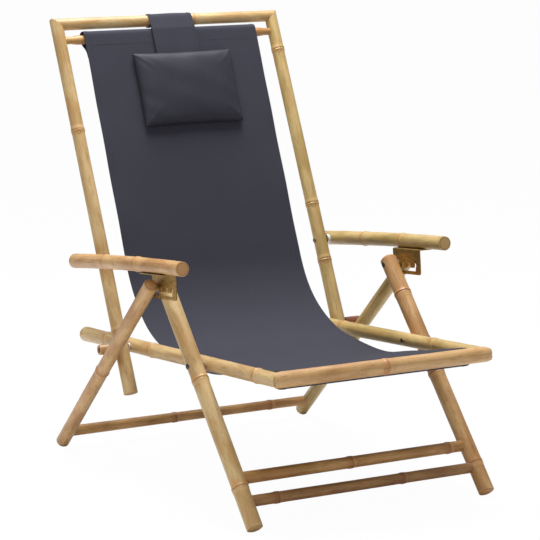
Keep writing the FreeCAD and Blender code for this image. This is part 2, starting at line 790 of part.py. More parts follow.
def washer(name, pivot, x, thickness, radius="washer_radius"):
    """A flat ring around a bolt, starting at x."""
    outline = [("bolt_radius", FIT, 0.0), (radius, 0.0, 0.0), (radius, 0.0, thickness),
               ("bolt_radius", FIT, thickness)]
    return turned_body(name, outline, outward_frame(pivot, x))


def nut(name, pivot, x):
    """A low hexagon nut on the end of a bolt, starting at x and running outward."""
    body = doc.addObject("PartDesign::Body", name)
    sketch = sketch_on(body, "XY_Plane", name + "_outline")
    radius = size("nut_flats") / math.sqrt(3.0)
    draw_lines(sketch, [flat(radius * math.cos(k * math.pi / 3), radius * math.sin(k * math.pi / 3))
                        for k in range(6)])
    sketch.addGeometry(Part.Circle(flat(0, 0), FreeCAD.Vector(0, 0, 1), BOLT_HOLE), False)
    pad = body.newObject("PartDesign::Pad", name + "_pad")
    pad.Profile = sketch
    pad.setExpression("Length", "Sizes.nut_height")
    body.Tip = pad
    body.Placement = outward_frame(pivot, x)
    doc.recompute()
    return body


NUT_SEAT = RAIL_X - size("seat_rail_radius") + size("nut_seat_depth")
NUT_START = NUT_SEAT - GAP - size("nut_height")

# Seat pivot: head outside the front leg, nut inside the rail.
SEAT_HEAD = LEG_OUTSIDE - size("head_seat_depth") + GAP + size("head_height")
pair(button_bolt("seat_bolt", SEAT_PIVOT, SEAT_HEAD, -1, SEAT_HEAD - NUT_START + 0.8), "seat_pivot_bolts")
pair(nut("seat_nut", SEAT_PIVOT, NUT_START), "seat_pivot_nuts")
pair(washer("seat_washer", SEAT_PIVOT, RAIL_OUTSIDE + GAP, size("seat_gap") - 2 * GAP),
     "seat_pivot_washers")

# Back pivot: the bolt sits down inside a short hollow stub on the outside of the pole.
STUB_START = POLE_OUTSIDE + size("stub_washer")
STUB_DEPTH = size("stub_length") - size("stub_floor")


def stub():
    length = size("stub_length")
    outline = [("bolt_radius", FIT, 0.0), ("stub_radius", 0.0, 0.0), ("stub_radius", 0.0, length),
               ("stub_bore", 0.0, length), ("stub_bore", 0.0, STUB_DEPTH), ("bolt_radius", FIT, STUB_DEPTH)]
    return turned_body("back_stub", outline, outward_frame(BACK_PIVOT, STUB_START))


STUB_HEAD = STUB_START + STUB_DEPTH + GAP + size("head_height")
pair(button_bolt("back_bolt", BACK_PIVOT, STUB_HEAD, -1, STUB_HEAD - NUT_START + 0.8), "back_pivot_bolts")
pair(nut("back_nut", BACK_PIVOT, NUT_START), "back_pivot_nuts")
pair(stub(), "back_pivot_stubs")
pair(washer("stub_washer", BACK_PIVOT, POLE_OUTSIDE + GAP, size("stub_washer") - 2 * GAP), "stub_washers")
RAIL_WASHER = 0.5 * (size("back_gap") - 3 * GAP)
pair(washer("rail_washer", BACK_PIVOT, RAIL_OUTSIDE + GAP, RAIL_WASHER), "back_washers_inner")
pair(washer("pole_washer", BACK_PIVOT, RAIL_OUTSIDE + 2 * GAP + RAIL_WASHER, RAIL_WASHER),
     "back_washers_outer")

# Arm pivot: head inside the back pole, end hidden in the armrest, a spacer between them.
ARM_HEAD = POLE_INSIDE + size("head_seat_depth") - GAP - size("head_height")
pair(button_bolt("arm_bolt", ARM_PIVOT, ARM_HEAD, 1, ARM_INSIDE + size("arm_bolt_reach") - ARM_HEAD),
     "arm_pivot_bolts")
ARM_GAP = ARM_INSIDE - POLE_OUTSIDE
ARM_WASHER = size("arm_washer")
pair(washer("arm_washer_inner", ARM_PIVOT, POLE_OUTSIDE + GAP, ARM_WASHER, "arm_washer_radius"),
     "arm_washers_inner")
pair(washer("arm_spacer", ARM_PIVOT, POLE_OUTSIDE + 2 * GAP + ARM_WASHER,
            ARM_GAP - 4 * GAP - 2 * ARM_WASHER, "arm_spacer_radius"), "arm_spacers")
pair(washer("arm_washer_outer", ARM_PIVOT, ARM_INSIDE - GAP - ARM_WASHER, ARM_WASHER, "arm_washer_radius"),
     "arm_washers_outer")

# Leg pivot: one half of the pin in the front leg, the other in the rear leg, the bracket's
# plate between them.
LEG_HEAD = LEG_INSIDE + size("head_seat_depth") - GAP - size("head_height")
PLATE_FAR = PLATE_X + size("plate_thickness")
pair(button_bolt("leg_bolt", LEG_PIVOT, LEG_HEAD, 1, PLATE_X - GAP - LEG_HEAD), "leg_pivot_bolts")
pair(washer("leg_washer", LEG_PIVOT, LEG_OUTSIDE + GAP, PLATE_X - LEG_OUTSIDE - 2 * GAP),
     "leg_washers_front")


def rear_pin():
    reach = REAR_INSIDE + size("pin_reach") - PLATE_FAR - GAP
    outline = [(None, 0.0, 0.0), ("bolt_radius", 0.0, 0.0), ("bolt_radius", 0.0, reach), (None, 0.0, reach)]
    return turned_body("rear_pin", outline, outward_frame(LEG_PIVOT, PLATE_FAR + GAP))


pair(rear_pin(), "rear_leg_pins")
pair(washer("rear_washer", LEG_PIVOT, PLATE_FAR + GAP, REAR_INSIDE - PLATE_FAR - 2 * GAP),
     "leg_washers_rear")


# Cloth. A cloth strip is drawn in side view as a line of corners, each rounded, then given
# its thickness and its width.

def strip(name, corners, thickness, left, right):
    """A solid strip along the rounded line of (point, radius) corners."""
    curves = []
    here = corners[0][0]
    for index in range(1, len(corners) - 1):
        corner, radius = corners[index]
        into = unit(corner - corners[index - 1][0])
        away = unit(corners[index + 1][0] - corner)
        turn = math.acos(max(-1.0, min(1.0, into.dot(away))))
        cut = radius * math.tan(turn / 2)
        start = corner - into * cut
        end = corner + away * cut
        side = 1.0 if across(into).dot(away) > 0 else -1.0
        centre = start + across(into) * (side * radius)
        curves.append(("line", here, start))
        curves.append(("arc", start, end, centre, side, radius))
        here = end
    curves.append(("line", here, corners[-1][0]))
    faces = [[], []]
    for curve in curves:
        for bank, sense in enumerate((1.0, -1.0)):
            offset = sense * thickness / 2
            if curve[0] == "line":
                shift = across(unit(curve[2] - curve[1])) * offset
                faces[bank].append(Part.LineSegment(curve[1] + shift, curve[2] + shift).toShape())
                continue
            start, end, centre, side, radius = curve[1:]
            scale = (radius - side * offset) / radius
            middle = unit((start + end) * 0.5 - centre) * radius
            spots = [centre + (start - centre) * scale, centre + middle * scale, centre + (end - centre) * scale]
            faces[bank].append(Part.Arc(*spots).toShape())
    upper, lower = (Part.Wire(edges) for edges in faces)
    caps = [Part.LineSegment(upper.OrderedVertexes[k].Point, lower.OrderedVertexes[k].Point).toShape()
            for k in (0, -1)]
    outline = Part.Wire(Part.__sortEdges__(upper.Edges + lower.Edges + caps))
    solid = Part.Face(outline).extrude(X_AXIS * (right - left))
    solid.translate(X_AXIS * left)
    feature = doc.addObject("Part::Feature", name)
    feature.Shape = solid
    return keep(feature, name)


CLOTH = size("cloth_thickness")
BACK_FRONTWARD = across(BACK_UP)
SEAT_UP = across(SEAT_FORWARD) * -1.0


def sling():
    """One sheet with a loose pocket over each rod and a curve of its own between them."""
    bend = side_point(size("sling_bend_y"), size("sling_bend_z"))
    dip = side_point(size("seat_dip_y"), size("seat_dip_z"))
    up = unit(REAR_ROD + BACK_FRONTWARD * size("pocket_front") - bend)
    frontward = across(up)
    front = size("pocket_front")
    top = size("pocket_top")
    round_off = size("sling_rod_radius") + size("cloth_gap")
    hem_rise = CLOTH + size("cloth_gap")
    rod_clear = size("sling_rod_radius") + size("cloth_gap") + 0.5 * CLOTH
    hem_front = front - hem_rise
    hem_drop = size("pocket_hem")
    rear_hem = REAR_ROD - up * hem_drop + frontward * hem_front
    lean = math.atan2(hem_front, hem_drop) + math.asin((rod_clear + 0.1) / math.hypot(hem_front, hem_drop))
    turn_up = (hem_front + rod_clear + 0.1) / math.tan(lean) - hem_drop
    forward = unit(FRONT_ROD + SEAT_UP * rod_clear - dip)
    rise = across(forward) * -1.0
    low = size("pocket_drop") + rod_clear
    front_hem = FRONT_ROD - forward * size("front_hem") + rise * (rod_clear - hem_rise)
    corners = [
        (rear_hem - up * size("hem_overlap"), 0.0),
        (rear_hem, 25.0),
        (REAR_ROD - frontward * (rod_clear + 0.1) + up * turn_up, rod_clear),
        (REAR_ROD - frontward * (rod_clear + 0.1) + up * top, round_off),
        (REAR_ROD + frontward * front + up * top, round_off),
        (bend, size("sling_bend_radius")),
        (dip, size("seat_dip_radius")),
        (FRONT_ROD + rise * rod_clear + forward * rod_clear, rod_clear - 0.1),
        (FRONT_ROD - rise * low + forward * rod_clear, rod_clear - 0.1),
        (FRONT_ROD - rise * low - forward * rod_clear, rod_clear - 0.3),
        (front_hem, 20.0),
        (front_hem - forward * size("hem_overlap"), 0.0),
    ]
    return strip("sling", corners, CLOTH, -size("sling_half_width"), size("sling_half_width"))


sling()


def back_point(down, frontward):
    """A point measured from the top rail's centre line, down the back and out to the front."""
    return BACK_TOP - BACK_UP * down + BACK_FRONTWARD * frontward


def sheet_front(down):
    """How far the sling's front face lies before the poles' centre lines at a given height."""
    bend = side_point(size("sling_bend_y"), size("sling_bend_z"))
    start = REAR_ROD + BACK_FRONTWARD * size("pocket_front")
    slope = unit(start - bend)
    run = (down - size("rear_sling_rod_at")) / slope.dot(BACK_UP)
    return (start - slope * run - BACK_TOP).dot(BACK_FRONTWARD) + 0.5 * CLOTH


def strap():
    """The band that holds the head pillow, looped around the top rail and closed on itself."""
    thick = size("strap_thickness")
    rail = size("top_rail_radius") + size("cloth_gap") + 0.5 * thick
    tail = size("strap_tail")
    drop = size("strap_drop")
    inner = sheet_front(tail) + size("cloth_gap") + 0.5 * thick
    inner_top = sheet_front(size("rear_sling_rod_at")) + size("cloth_gap") + 0.5 * thick + 0.6
    layer = thick + size("cloth_gap") + 1.6
    corners = [
        (back_point(tail, inner), 0.0),
        (back_point(rail, inner_top), 3.0),
        (back_point(rail, -rail), rail - 0.2),
        (back_point(-rail, -rail), rail - 0.2),
        (back_point(-rail, rail + 0.4), rail - 0.2),
        (back_point(24.0, inner_top + layer), 12.0),
        (back_point(drop, sheet_front(drop) + size("cloth_gap") + 0.5 * thick + layer), 0.0),
    ]
    return strip("strap", corners, thick, size("strap_left"), size("strap_right"))


strap()


def strap_pads():
    """The hook-and-loop pad between the strap's two layers."""
    thick = size("strap_thickness")
    start = size("rear_sling_rod_at") + 4.0
    end = size("strap_tail") - 4.0
    lift = size("cloth_gap") + thick + 0.3 + 0.5
    corners = [(back_point(start, sheet_front(start) + lift + 0.5), 0.0),
               (back_point(end, sheet_front(end) + lift), 0.0)]
    return strip("strap_pad", corners, 0.8, size("strap_left") + 8.0, size("strap_right") - 8.0)


strap_pads()


def pillow():
    """A head pillow: crowned front, flatter back, sides drawn in between its corners."""
    left, right = size("pillow_left"), size("pillow_right")
    half, middle = 0.5 * (right - left), 0.5 * (right + left)
    top, length = size("pillow_top"), size("pillow_length")
    seam = size("pillow_seam")
    base = size("pillow_back_bulge") + size("cloth_gap") + 0.6
    sections = []
    for share in (0.0, 0.05, 0.14, 0.3, 0.5, 0.7, 0.86, 0.95, 1.0):
        fullness = math.sin(math.pi * share) ** 0.5 if 0.0 < share < 1.0 else 0.0
        width = half - size("pillow_draw_in") * math.sin(math.pi * share)
        down = top + share * length
        seat = sheet_front(down) + base
        crown = seam + fullness * (size("pillow_crown") - seam)
        bulge = 0.4 + fullness * (size("pillow_back_bulge") - 0.4)
        centre = back_point(down, seat)

        def spot(x, out):
            return centre + X_AXIS * (middle + x) + BACK_FRONTWARD * out

        front = Part.Arc(spot(-width, 0.5), spot(0.0, crown), spot(width, 0.5)).toShape()
        rear = Part.Arc(spot(width, -0.5), spot(0.0, -bulge), spot(-width, -0.5)).toShape()
        edges = [front, Part.LineSegment(spot(width, 0.5), spot(width, -0.5)).toShape(), rear,
                 Part.LineSegment(spot(-width, -0.5), spot(-width, 0.5)).toShape()]
        sections.append(Part.Wire(edges))
    feature = doc.addObject("Part::Feature", "pillow")
    feature.Shape = Part.makeLoft(sections, True, True)
    return keep(feature, "pillow")


pillow()


# Check every object, then write one file for each named piece.

doc.recompute()
for feature in doc.Objects:
    if "Invalid" in feature.State or "Error" in feature.State:
        raise RuntimeError("%s did not build: %s" % (feature.Name, feature.State))
box = FreeCAD.BoundBox()
for feature in nodes:
    if feature.Shape.isNull() or not feature.Shape.isValid():
        raise RuntimeError(feature.Label + " has no valid shape")
    box.add(feature.Shape.BoundBox)
    feature.Shape.exportStep("parts/%s.step" % feature.Label)
print("pieces", len(nodes))
print("box", box)
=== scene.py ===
import math

import bmesh
import bpy
import numpy as np
from mathutils import Matrix, Vector


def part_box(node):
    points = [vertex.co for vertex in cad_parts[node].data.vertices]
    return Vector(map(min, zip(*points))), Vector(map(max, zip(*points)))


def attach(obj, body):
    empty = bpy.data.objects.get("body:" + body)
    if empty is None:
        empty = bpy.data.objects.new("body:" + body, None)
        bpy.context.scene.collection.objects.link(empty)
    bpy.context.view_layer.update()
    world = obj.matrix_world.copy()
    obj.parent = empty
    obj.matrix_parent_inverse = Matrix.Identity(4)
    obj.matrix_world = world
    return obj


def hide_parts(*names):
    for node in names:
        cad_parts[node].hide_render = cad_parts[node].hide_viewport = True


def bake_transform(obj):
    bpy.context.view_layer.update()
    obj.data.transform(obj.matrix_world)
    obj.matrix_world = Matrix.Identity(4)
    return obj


# The deck chair as packed: every cane, bracket, bolt and cloth part as a plain solid.
# Metres, Z up, the chair faces -Y and stands in its most upright notch.
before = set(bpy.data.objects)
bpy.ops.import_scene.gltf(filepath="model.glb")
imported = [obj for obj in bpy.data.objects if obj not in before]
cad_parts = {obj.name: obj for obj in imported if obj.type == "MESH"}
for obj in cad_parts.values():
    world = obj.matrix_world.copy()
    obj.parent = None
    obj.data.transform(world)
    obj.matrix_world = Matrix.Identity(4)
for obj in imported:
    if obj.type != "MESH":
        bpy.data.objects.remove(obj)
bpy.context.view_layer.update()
SIDES = (("left", -1), ("right", 1))


class Wire:
    """A socket whose sums, products and powers add Math nodes to its tree."""

    def __init__(self, board, socket):
        self.board = board
        self.socket = socket

    def __add__(self, other):
        return self.board.maths("ADD", self, other)

    def __radd__(self, other):
        return self.board.maths("ADD", other, self)

    def __sub__(self, other):
        return self.board.maths("SUBTRACT", self, other)

    def __rsub__(self, other):
        return self.board.maths("SUBTRACT", other, self)

    def __mul__(self, other):
        return self.board.maths("MULTIPLY", self, other)

    def __rmul__(self, other):
        return self.board.maths("MULTIPLY", other, self)

    def __truediv__(self, other):
        return self.board.maths("DIVIDE", self, other)

    def __rtruediv__(self, other):
        return self.board.maths("DIVIDE", other, self)

    def __pow__(self, other):
        return self.board.maths("POWER", self, other)

    def __neg__(self):
        return self.board.maths("MULTIPLY", self, -1.0)


class Board:
    """A node tree with one way to put a node on it and wire it up."""

    def __init__(self, tree, owner=None):
        self.tree = tree
        self.owner = owner

    def put(self, kind, settings=None, values=None, out=0):
        """Add a node: its settings first, then the value or wire of each socket."""
        node = self.tree.nodes.new(kind)
        for key, value in (settings or {}).items():
            if key == "stops":
                set_stops(node.color_ramp.elements, value)
            elif key == "curve":
                set_curve(node.mapping, value)
            else:
                setattr(node, key, value)
        for key, value in (values or {}).items():
            socket = node.inputs[key]
            if not socket.enabled and isinstance(key, str):
                socket = next(one for one in node.inputs if one.enabled and one.name == key)
            if isinstance(value, Wire):
                self.tree.links.new(value.socket, socket)
            else:
                socket.default_value = value
        outputs = [one for one in node.outputs if one.enabled]
        if outputs:
            return Wire(self, node.outputs[out] if isinstance(out, str) else outputs[out])

    def also(self, wire, name):
        """Another output of the node that a wire comes from."""
        return Wire(self, wire.socket.node.outputs[name])

    def maths(self, operation, first, second=0.0):
        return self.put("ShaderNodeMath", {"operation": operation}, {0: first, 1: second})

    def low(self, first, second):
        return self.maths("MINIMUM", first, second)

    def high(self, first, second):
        return self.maths("MAXIMUM", first, second)

    def positive(self, value):
        return self.maths("ABSOLUTE", value)

    def split(self, vector):
        return [self.put("ShaderNodeSeparateXYZ", None, {0: vector}, out) for out in range(3)]

    def join(self, x, y, z):
        return self.put("ShaderNodeCombineXYZ", None, {0: x, 1: y, 2: z})

    def noise(self, vector, detail=2.0, rough=0.5):
        return self.put("ShaderNodeTexNoise", None,
                        {"Vector": vector, "Scale": 1.0, "Detail": detail, "Roughness": rough})

    def grain(self, vector, scale, detail=2.0, rough=0.5):
        """Noise with its own scale along each axis, or one for all."""
        scale = scale if isinstance(scale, tuple) else (scale, scale, scale)
        drawn = self.put("ShaderNodeVectorMath", {"operation": "MULTIPLY"}, {0: vector, 1: scale})
        return self.noise(drawn, detail, rough)

    def attribute(self, name, out="Fac"):
        return self.put("ShaderNodeAttribute", {"attribute_name": name}, out=out)

    def place(self):
        return self.put("ShaderNodeTexCoord", out="Object")

    def bump(self, strength, depth, height):
        return self.put("ShaderNodeBump", None,
                        {"Strength": strength, "Distance": depth, "Height": height})

    def between(self, value, low, high):
        """0 below low, 1 above high, and a smooth climb between."""
        return self.put("ShaderNodeMapRange", {"interpolation_type": "SMOOTHSTEP"},
                        {"Value": value, "From Min": low, "From Max": high})

    def bell(self, value, width, middle=0.0):
        """1 where the value is at the middle, fading away over the width on both sides."""
        return self.maths("EXPONENT", -(((value - middle) / width) ** 2.0))

    def tint(self, share, under, over):
        """Lay one shade over another. A plain shade is a tuple of 0 to 255."""
        under, over = [colour(*one) if isinstance(one, tuple) else one for one in (under, over)]
        return self.put("ShaderNodeMix", {"data_type": "RGBA"}, {0: share, "A": under, "B": over})


def set_stops(elements, stops):
    while len(elements) < len(stops):
        elements.new(0.5)
    for element, (place, shade) in zip(elements, stops):
        element.position = place
        element.color = colour(*shade)


def set_curve(mapping, points):
    curve = mapping.curves[0]
    while len(curve.points) < len(points):
        curve.points.new(0.5, 0.5)
    for point, place in zip(curve.points, points):
        point.location = place
    mapping.update()


def colour(red, green, blue):
    """A shade read off as 0 to 255, as the linear colour that nodes take."""
    shades = [(c / 255.0) for c in (red, green, blue)]
    return [c / 12.92 if c < 0.04045 else ((c + 0.055) / 1.055) ** 2.4 for c in shades] + [1.0]


def new_material(name):
    material = bpy.data.materials.new(name)
    material.use_nodes = True
    material.node_tree.nodes.clear()
    return Board(material.node_tree, material)


def finish_material(board, values):
    """Wire the last colour, gloss and bump into the surface."""
    surface = board.put("ShaderNodeBsdfPrincipled", None, values)
    board.put("ShaderNodeOutputMaterial", None, {"Surface": surface})
    return board.owner


def open_tree(name, inputs):
    """A shape tree with named inputs: numbers to start from, or the kind of thing it takes."""
    tree = bpy.data.node_groups.new(name, "GeometryNodeTree")
    for label, start in inputs.items():
        kind = start if isinstance(start, str) else "Float"
        socket = tree.interface.new_socket(label, in_out="INPUT", socket_type="NodeSocket" + kind)
        if kind == "Float":
            socket.default_value = start
    tree.interface.new_socket("Geometry", in_out="OUTPUT", socket_type="NodeSocketGeometry")
    board = Board(tree)
    given = tree.nodes.new("NodeGroupInput")
    return board, {socket.name: Wire(board, socket) for socket in given.outputs if socket.name}


def close_tree(board, shape, skin):
    """Give the shape its material and send it out."""
    shape = board.put("GeometryNodeRealizeInstances", None, {"Geometry": shape})
    shape = board.put("GeometryNodeSetMaterial", None, {"Geometry": shape, "Material": skin})
    end = board.tree.nodes.new("NodeGroupOutput")
    board.tree.links.new(shape.socket, end.inputs["Geometry"])
    return board.tree


def placed(name, data):
    """A new object, put into the scene."""
    piece = bpy.data.objects.new(name, data)
    bpy.context.scene.collection.objects.link(piece)
    return piece


# Bamboo. The canes are whole poles, planed at the joints and varnished: straw skin with
# lengthwise fibre, cloudy amber patches, and at each joint a warm ring with a dark sheath scar.

def bamboo(name, pale, deep, warm, scar):
    board = new_material(name)
    at = board.attribute("cane_at", "Vector")
    joint, bud, capped, share = [board.attribute("cane_" + label)
                                 for label in ("joint", "bud", "cap", "share")]
    fibre = board.grain(at, (850, 850, 9), 3.0, 0.6)
    thread = board.grain(at, (2600, 2600, 40))
    cloud = board.grain(at, (38, 38, 11), 3.0, 0.55)
    patch = board.grain(at, (75, 75, 24), 4.0, 0.65)
    stain = board.grain(at, (130, 130, 30), 4.0, 0.7)
    streak = board.grain(at, (420, 420, 14), 3.0, 0.65)
    freckle = board.grain(at, (420, 420, 150), 2.0, 0.6)
    skin = board.tint(board.between(cloud, 0.36, 0.66), pale, deep)
    for mark, low, high, strength, tone in (
            (patch, 0.54, 0.72, 0.60, warm), (fibre, 0.45, 0.75, 0.42, warm),
            (stain, 0.54, 0.76, 0.44, scar), (streak, 0.54, 0.72, 0.46, scar),
            (freckle, 0.64, 0.74, 0.50, scar)):
        skin = board.tint(board.between(mark, low, high) * strength, skin, tone)
    place = joint + (board.grain(at, (60, 60, 3)) - 0.5) * 0.004
    skin = board.tint(board.bell(place, 0.011) * 0.62, skin, warm)
    band = board.between(place, 0.0015, 0.003) * (1.0 - board.between(place, 0.006, 0.012))
    skin = board.tint(band * 0.55, skin, pale)
    line, second = board.bell(place, 0.0009), board.bell(place, 0.0007, 0.0042)
    patchy = board.between(board.grain(at, (150, 150, 40)), 0.35, 0.6)
    skin = board.tint((line * 0.62 + second * 0.28) * (0.35 + 0.65 * patchy), skin, scar)
    skin = board.tint(board.bell(bud, 0.0045) * 0.5, skin, warm)
    scale = board.bell(bud, 0.0008, 0.0042)
    skin = board.tint(scale * 0.6, skin, scar)
    pores = board.grain(at, 1500, 1.0)
    wood = board.tint(board.between(pores, 0.5, 0.68) * 0.4, board.tint(0.45, pale, warm), scar)
    wood = board.tint(board.bell(share, 0.07, 0.82) * 0.55, wood, scar)
    capped = capped * (1.0 - board.between(share, 0.86, 0.9))
    height = thread * 0.3 + fibre * 0.5 - line * 1.6 - second * 0.8 - scale * 1.2
    return finish_material(board, {
        "Base Color": board.tint(capped, skin, wood),
        "Roughness": 0.34 + patch * 0.2 + capped * 0.25, "IOR": 1.5,
        "Normal": board.bump(0.35, 0.0004, height),
        "Coat Weight": 0.12 - capped * 0.1, "Coat Roughness": 0.2})


STRAW = bamboo("Straw bamboo", (205, 178, 128), (180, 145, 93), (194, 138, 76), (112, 74, 40))
OLIVE = bamboo("Olive bamboo", (196, 170, 114), (168, 142, 84), (186, 136, 76), (104, 76, 42))
TAN = bamboo("Tan bamboo", (206, 167, 114), (177, 132, 80), (182, 122, 68), (108, 64, 34))
BROWN = bamboo("Brown bamboo", (204, 158, 98), (174, 127, 70), (160, 98, 52), (84, 48, 26))
UMBER = bamboo("Umber bamboo", (176, 132, 80), (146, 104, 58), (136, 78, 44), (70, 40, 24))


# The cane itself: a round pole whose skin swells into two ridges at each joint. Its ends are
# sawn flat, domed, or mitred with a rounded outer corner, and it may bow or wander a little.

CANE_TURNS, END_RINGS, RING_STEP = 40, 5, 0.0021
JOINT_SPAN, END_REACH, WHITTLED = 0.030, 0.035, 0.2
JOINT_PROFILE = [(0.0, 0.0), (0.20, 0.05), (0.38, 0.62), (0.455, 1.0), (0.495, 0.15),
                 (0.515, 0.15), (0.56, 0.78), (0.64, 0.45), (0.82, 0.05), (1.0, 0.0)]
OFF_THE_CANE = -1.0


def cane_tree():
    board, ask = open_tree("Bamboo cane", {
        "Length": 0.5, "Radius": 0.013, "Joint 1": OFF_THE_CANE, "Joint 2": OFF_THE_CANE,
        "Joint 3": OFF_THE_CANE, "Swell": 0.0013, "Bow": 0.0, "Wander": 0.0004,
        "Start mitre": 0.0, "End mitre": 0.0, "Corner radius": 0.015, "Start dome": 0.0012,
        "End dome": 0.0012, "Start power": 9.0, "End power": 9.0, "Whittle": 0.0,
        "Bud angle": 0.0, "Seed": 0.0, "Rings": "Int", "Skin": "Material"})
    length, radius, seed = ask["Length"], ask["Radius"], ask["Seed"]
    shape = board.put("GeometryNodeMeshCylinder", {"fill_type": "TRIANGLE_FAN"},
                      {"Vertices": CANE_TURNS, "Side Segments": ask["Rings"], "Radius": 1.0,
                       "Fill Segments": END_RINGS, "Depth": length}, "Mesh")
    top, bottom = board.also(shape, "Top"), board.also(shape, "Bottom")
    x, y, z = board.split(board.put("GeometryNodeInputPosition"))
    along = z + length * 0.5
    share = board.maths("SQRT", x * x + y * y)
    nearest = None
    for name in ("Joint 1", "Joint 2", "Joint 3"):
        away = along - ask[name]
        ring = board.put("ShaderNodeFloatCurve", {"curve": JOINT_PROFILE},
                         {"Value": away / JOINT_SPAN + 0.5})
        if nearest is None:
            nearest, swell = away, ring
        else:
            closer = board.maths("LESS_THAN", board.positive(away), board.positive(nearest))
            nearest, swell = nearest + (away - nearest) * closer, swell + ring
    lumps = board.noise(board.join(x * 0.8, y * 0.8, along * 16.0 + seed * 9.1), 1.0) - 0.5
    girth = radius + ask["Swell"] * swell + radius * lumps * 0.024
    edge, thin = board.low(along, length - along), ask["Whittle"]
    cut = board.maths("GREATER_THAN", thin, 0.001) * WHITTLED
    girth = girth * (1.0 - cut * (1.0 - board.between(edge, thin * 0.45, thin + 0.0001)))
    flat_x, flat_y = x * girth, y * girth

    def sway(low_x, low_y, low_z):
        drift = board.noise(board.join(low_x, low_y, low_z), 0.0) - 0.5
        return drift * ask["Wander"] * board.between(edge, 0.0, 0.08)

    def end_cut(end, inward):
        """How far the skin near one end stands out beyond a flat cut there."""
        corner, mitre = ask["Corner radius"], ask[end + " mitre"]
        outward = flat_x * mitre
        curve = board.maths("SQRT", board.high(corner * corner - outward * outward, 0.0))
        sawn = board.low(outward, curve) - 0.00012
        eased = -(ask[end + " dome"] * share ** ask[end + " power"])
        near = board.high(1.0 - inward / END_REACH, 0.0)
        return (eased + (sawn - eased) * board.positive(mitre)) * near

    height = along + end_cut("End", length - along) - end_cut("Start", along)
    bend = 4.0 * ask["Bow"] * along * (length - along) / (length * length)
    spot = board.join(flat_x + sway(along * 7.0, seed * 5.3, 0.0) + bend,
                      flat_y + sway(seed * 3.7, along * 7.0, 4.0), height)
    capped = board.high(top * (1.0 - board.positive(ask["End mitre"])),
                        bottom * (1.0 - board.positive(ask["Start mitre"])))
    bud_x = flat_x - board.maths("COSINE", ask["Bud angle"]) * radius
    bud_y = flat_y - board.maths("SINE", ask["Bud angle"]) * radius
    bud_z = nearest + 0.0075
    bud = board.maths("SQRT", bud_x * bud_x + bud_y * bud_y + bud_z * bud_z)
    for name, domain, kind, value in (
            ("cane_at", "POINT", "FLOAT_VECTOR", board.join(flat_x, flat_y, height + seed * 1.7)),
            ("cane_joint", "POINT", "FLOAT", nearest),
            ("cane_bud", "POINT", "FLOAT", bud),
            ("cane_share", "POINT", "FLOAT", share),
            ("cane_cap", "FACE", "FLOAT", capped)):
        shape = board.put("GeometryNodeStoreNamedAttribute", {"data_type": kind, "domain": domain},
                          {"Geometry": shape, "Name": name, "Value": value})
    shape = board.put("GeometryNodeSetPosition", None, {"Geometry": shape, "Position": spot})
    shape = board.put("GeometryNodeMergeByDistance", None, {"Geometry": shape, "Distance": 0.00004})
    return close_tree(board, shape, ask["Skin"])


CANE_TREE = cane_tree()


def grown(name, tree, settings):
    """Run a node tree once and keep its result as a plain mesh."""
    piece = placed(name, bpy.data.meshes.new(name))
    modifier = piece.modifiers.new(name, "NODES")
    modifier.node_group = tree
    for socket in tree.interface.items_tree:
        if socket.in_out == "INPUT" and socket.name in settings:
            modifier[socket.identifier] = settings[socket.name]
    bpy.context.view_layer.update()
    graph = bpy.context.evaluated_depsgraph_get()
    mesh = bpy.data.meshes.new_from_object(piece.evaluated_get(graph),
                                           preserve_all_data_layers=True, depsgraph=graph)
    piece.modifiers.clear()
    piece.data = mesh
    mesh.name = name
    return piece


def smooth(mesh, degrees=38.0):
    mesh.polygons.foreach_set("use_smooth", [True] * len(mesh.polygons))
    mesh.set_sharp_from_angle(angle=math.radians(degrees))


def cane(node, body, slot, skin, start, end, sideways, radius, joints=(), **more):
    """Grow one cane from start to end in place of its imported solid."""
    length = (end - start).length
    settings = {"Length": length, "Radius": radius, "Skin": skin,
                "Rings": max(60, int(length / RING_STEP))}
    for number, place in enumerate(joints, start=1):
        settings["Joint %d" % number] = place
    settings.update(more)
    piece = grown("cane_" + node, CANE_TREE, settings)
    up = (end - start).normalized()
    side = sideways.normalized()
    turn = Matrix((side, up.cross(side), up)).transposed().to_4x4()
    piece.data.transform(Matrix.Translation(start) @ turn)
    smooth(piece.data)
    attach(piece, body)
    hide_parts(node)


# The seat frame: two rails and a front rail, mitred and glued at the front corners, with the
# rod for the canvas let into the rails just behind the front rail.

def side_point(y, z):
    return Vector((0.0, y, z))


ACROSS = Vector((1.0, 0.0, 0.0))
SEAT_PIVOT = side_point(-0.1742, 0.2680)
BACK_PIVOT = side_point(0.1528, 0.2455)
SEAT_FORWARD = (SEAT_PIVOT - BACK_PIVOT).normalized()
SEAT_RISE = side_point(SEAT_FORWARD.z, -SEAT_FORWARD.y)
SEAT_FRONT = SEAT_PIVOT + SEAT_FORWARD * 0.2646
SEAT_REAR = BACK_PIVOT - SEAT_FORWARD * 0.2455
FRONT_ROD = SEAT_FRONT - SEAT_FORWARD * 0.0278
RAIL_X, RAIL_RADIUS, FRONT_RADIUS, ROD_RADIUS = 0.220, 0.0135, 0.0147, 0.0097
MITRED = {"Start mitre": 1.0, "End mitre": 1.0}
SEAT_CORNER = {"Corner radius": 0.0166}
LET_IN = 0.0075


def cane_pair(stem, body, radius, start, end, x, seed, looks, sideways=ACROSS, mitre=0.0, **more):
    """A left and a right cane, each with its own joints and skin."""
    for (side, sign), (joints, skin, slot) in zip(SIDES, looks):
        node, out = stem + "_" + side, ACROSS * sign * x
        cane(node, body or node, slot, skin, start + out, end + out, sideways, radius, joints,
             **{"End mitre": mitre * sign, "Seed": seed + sign, **more})


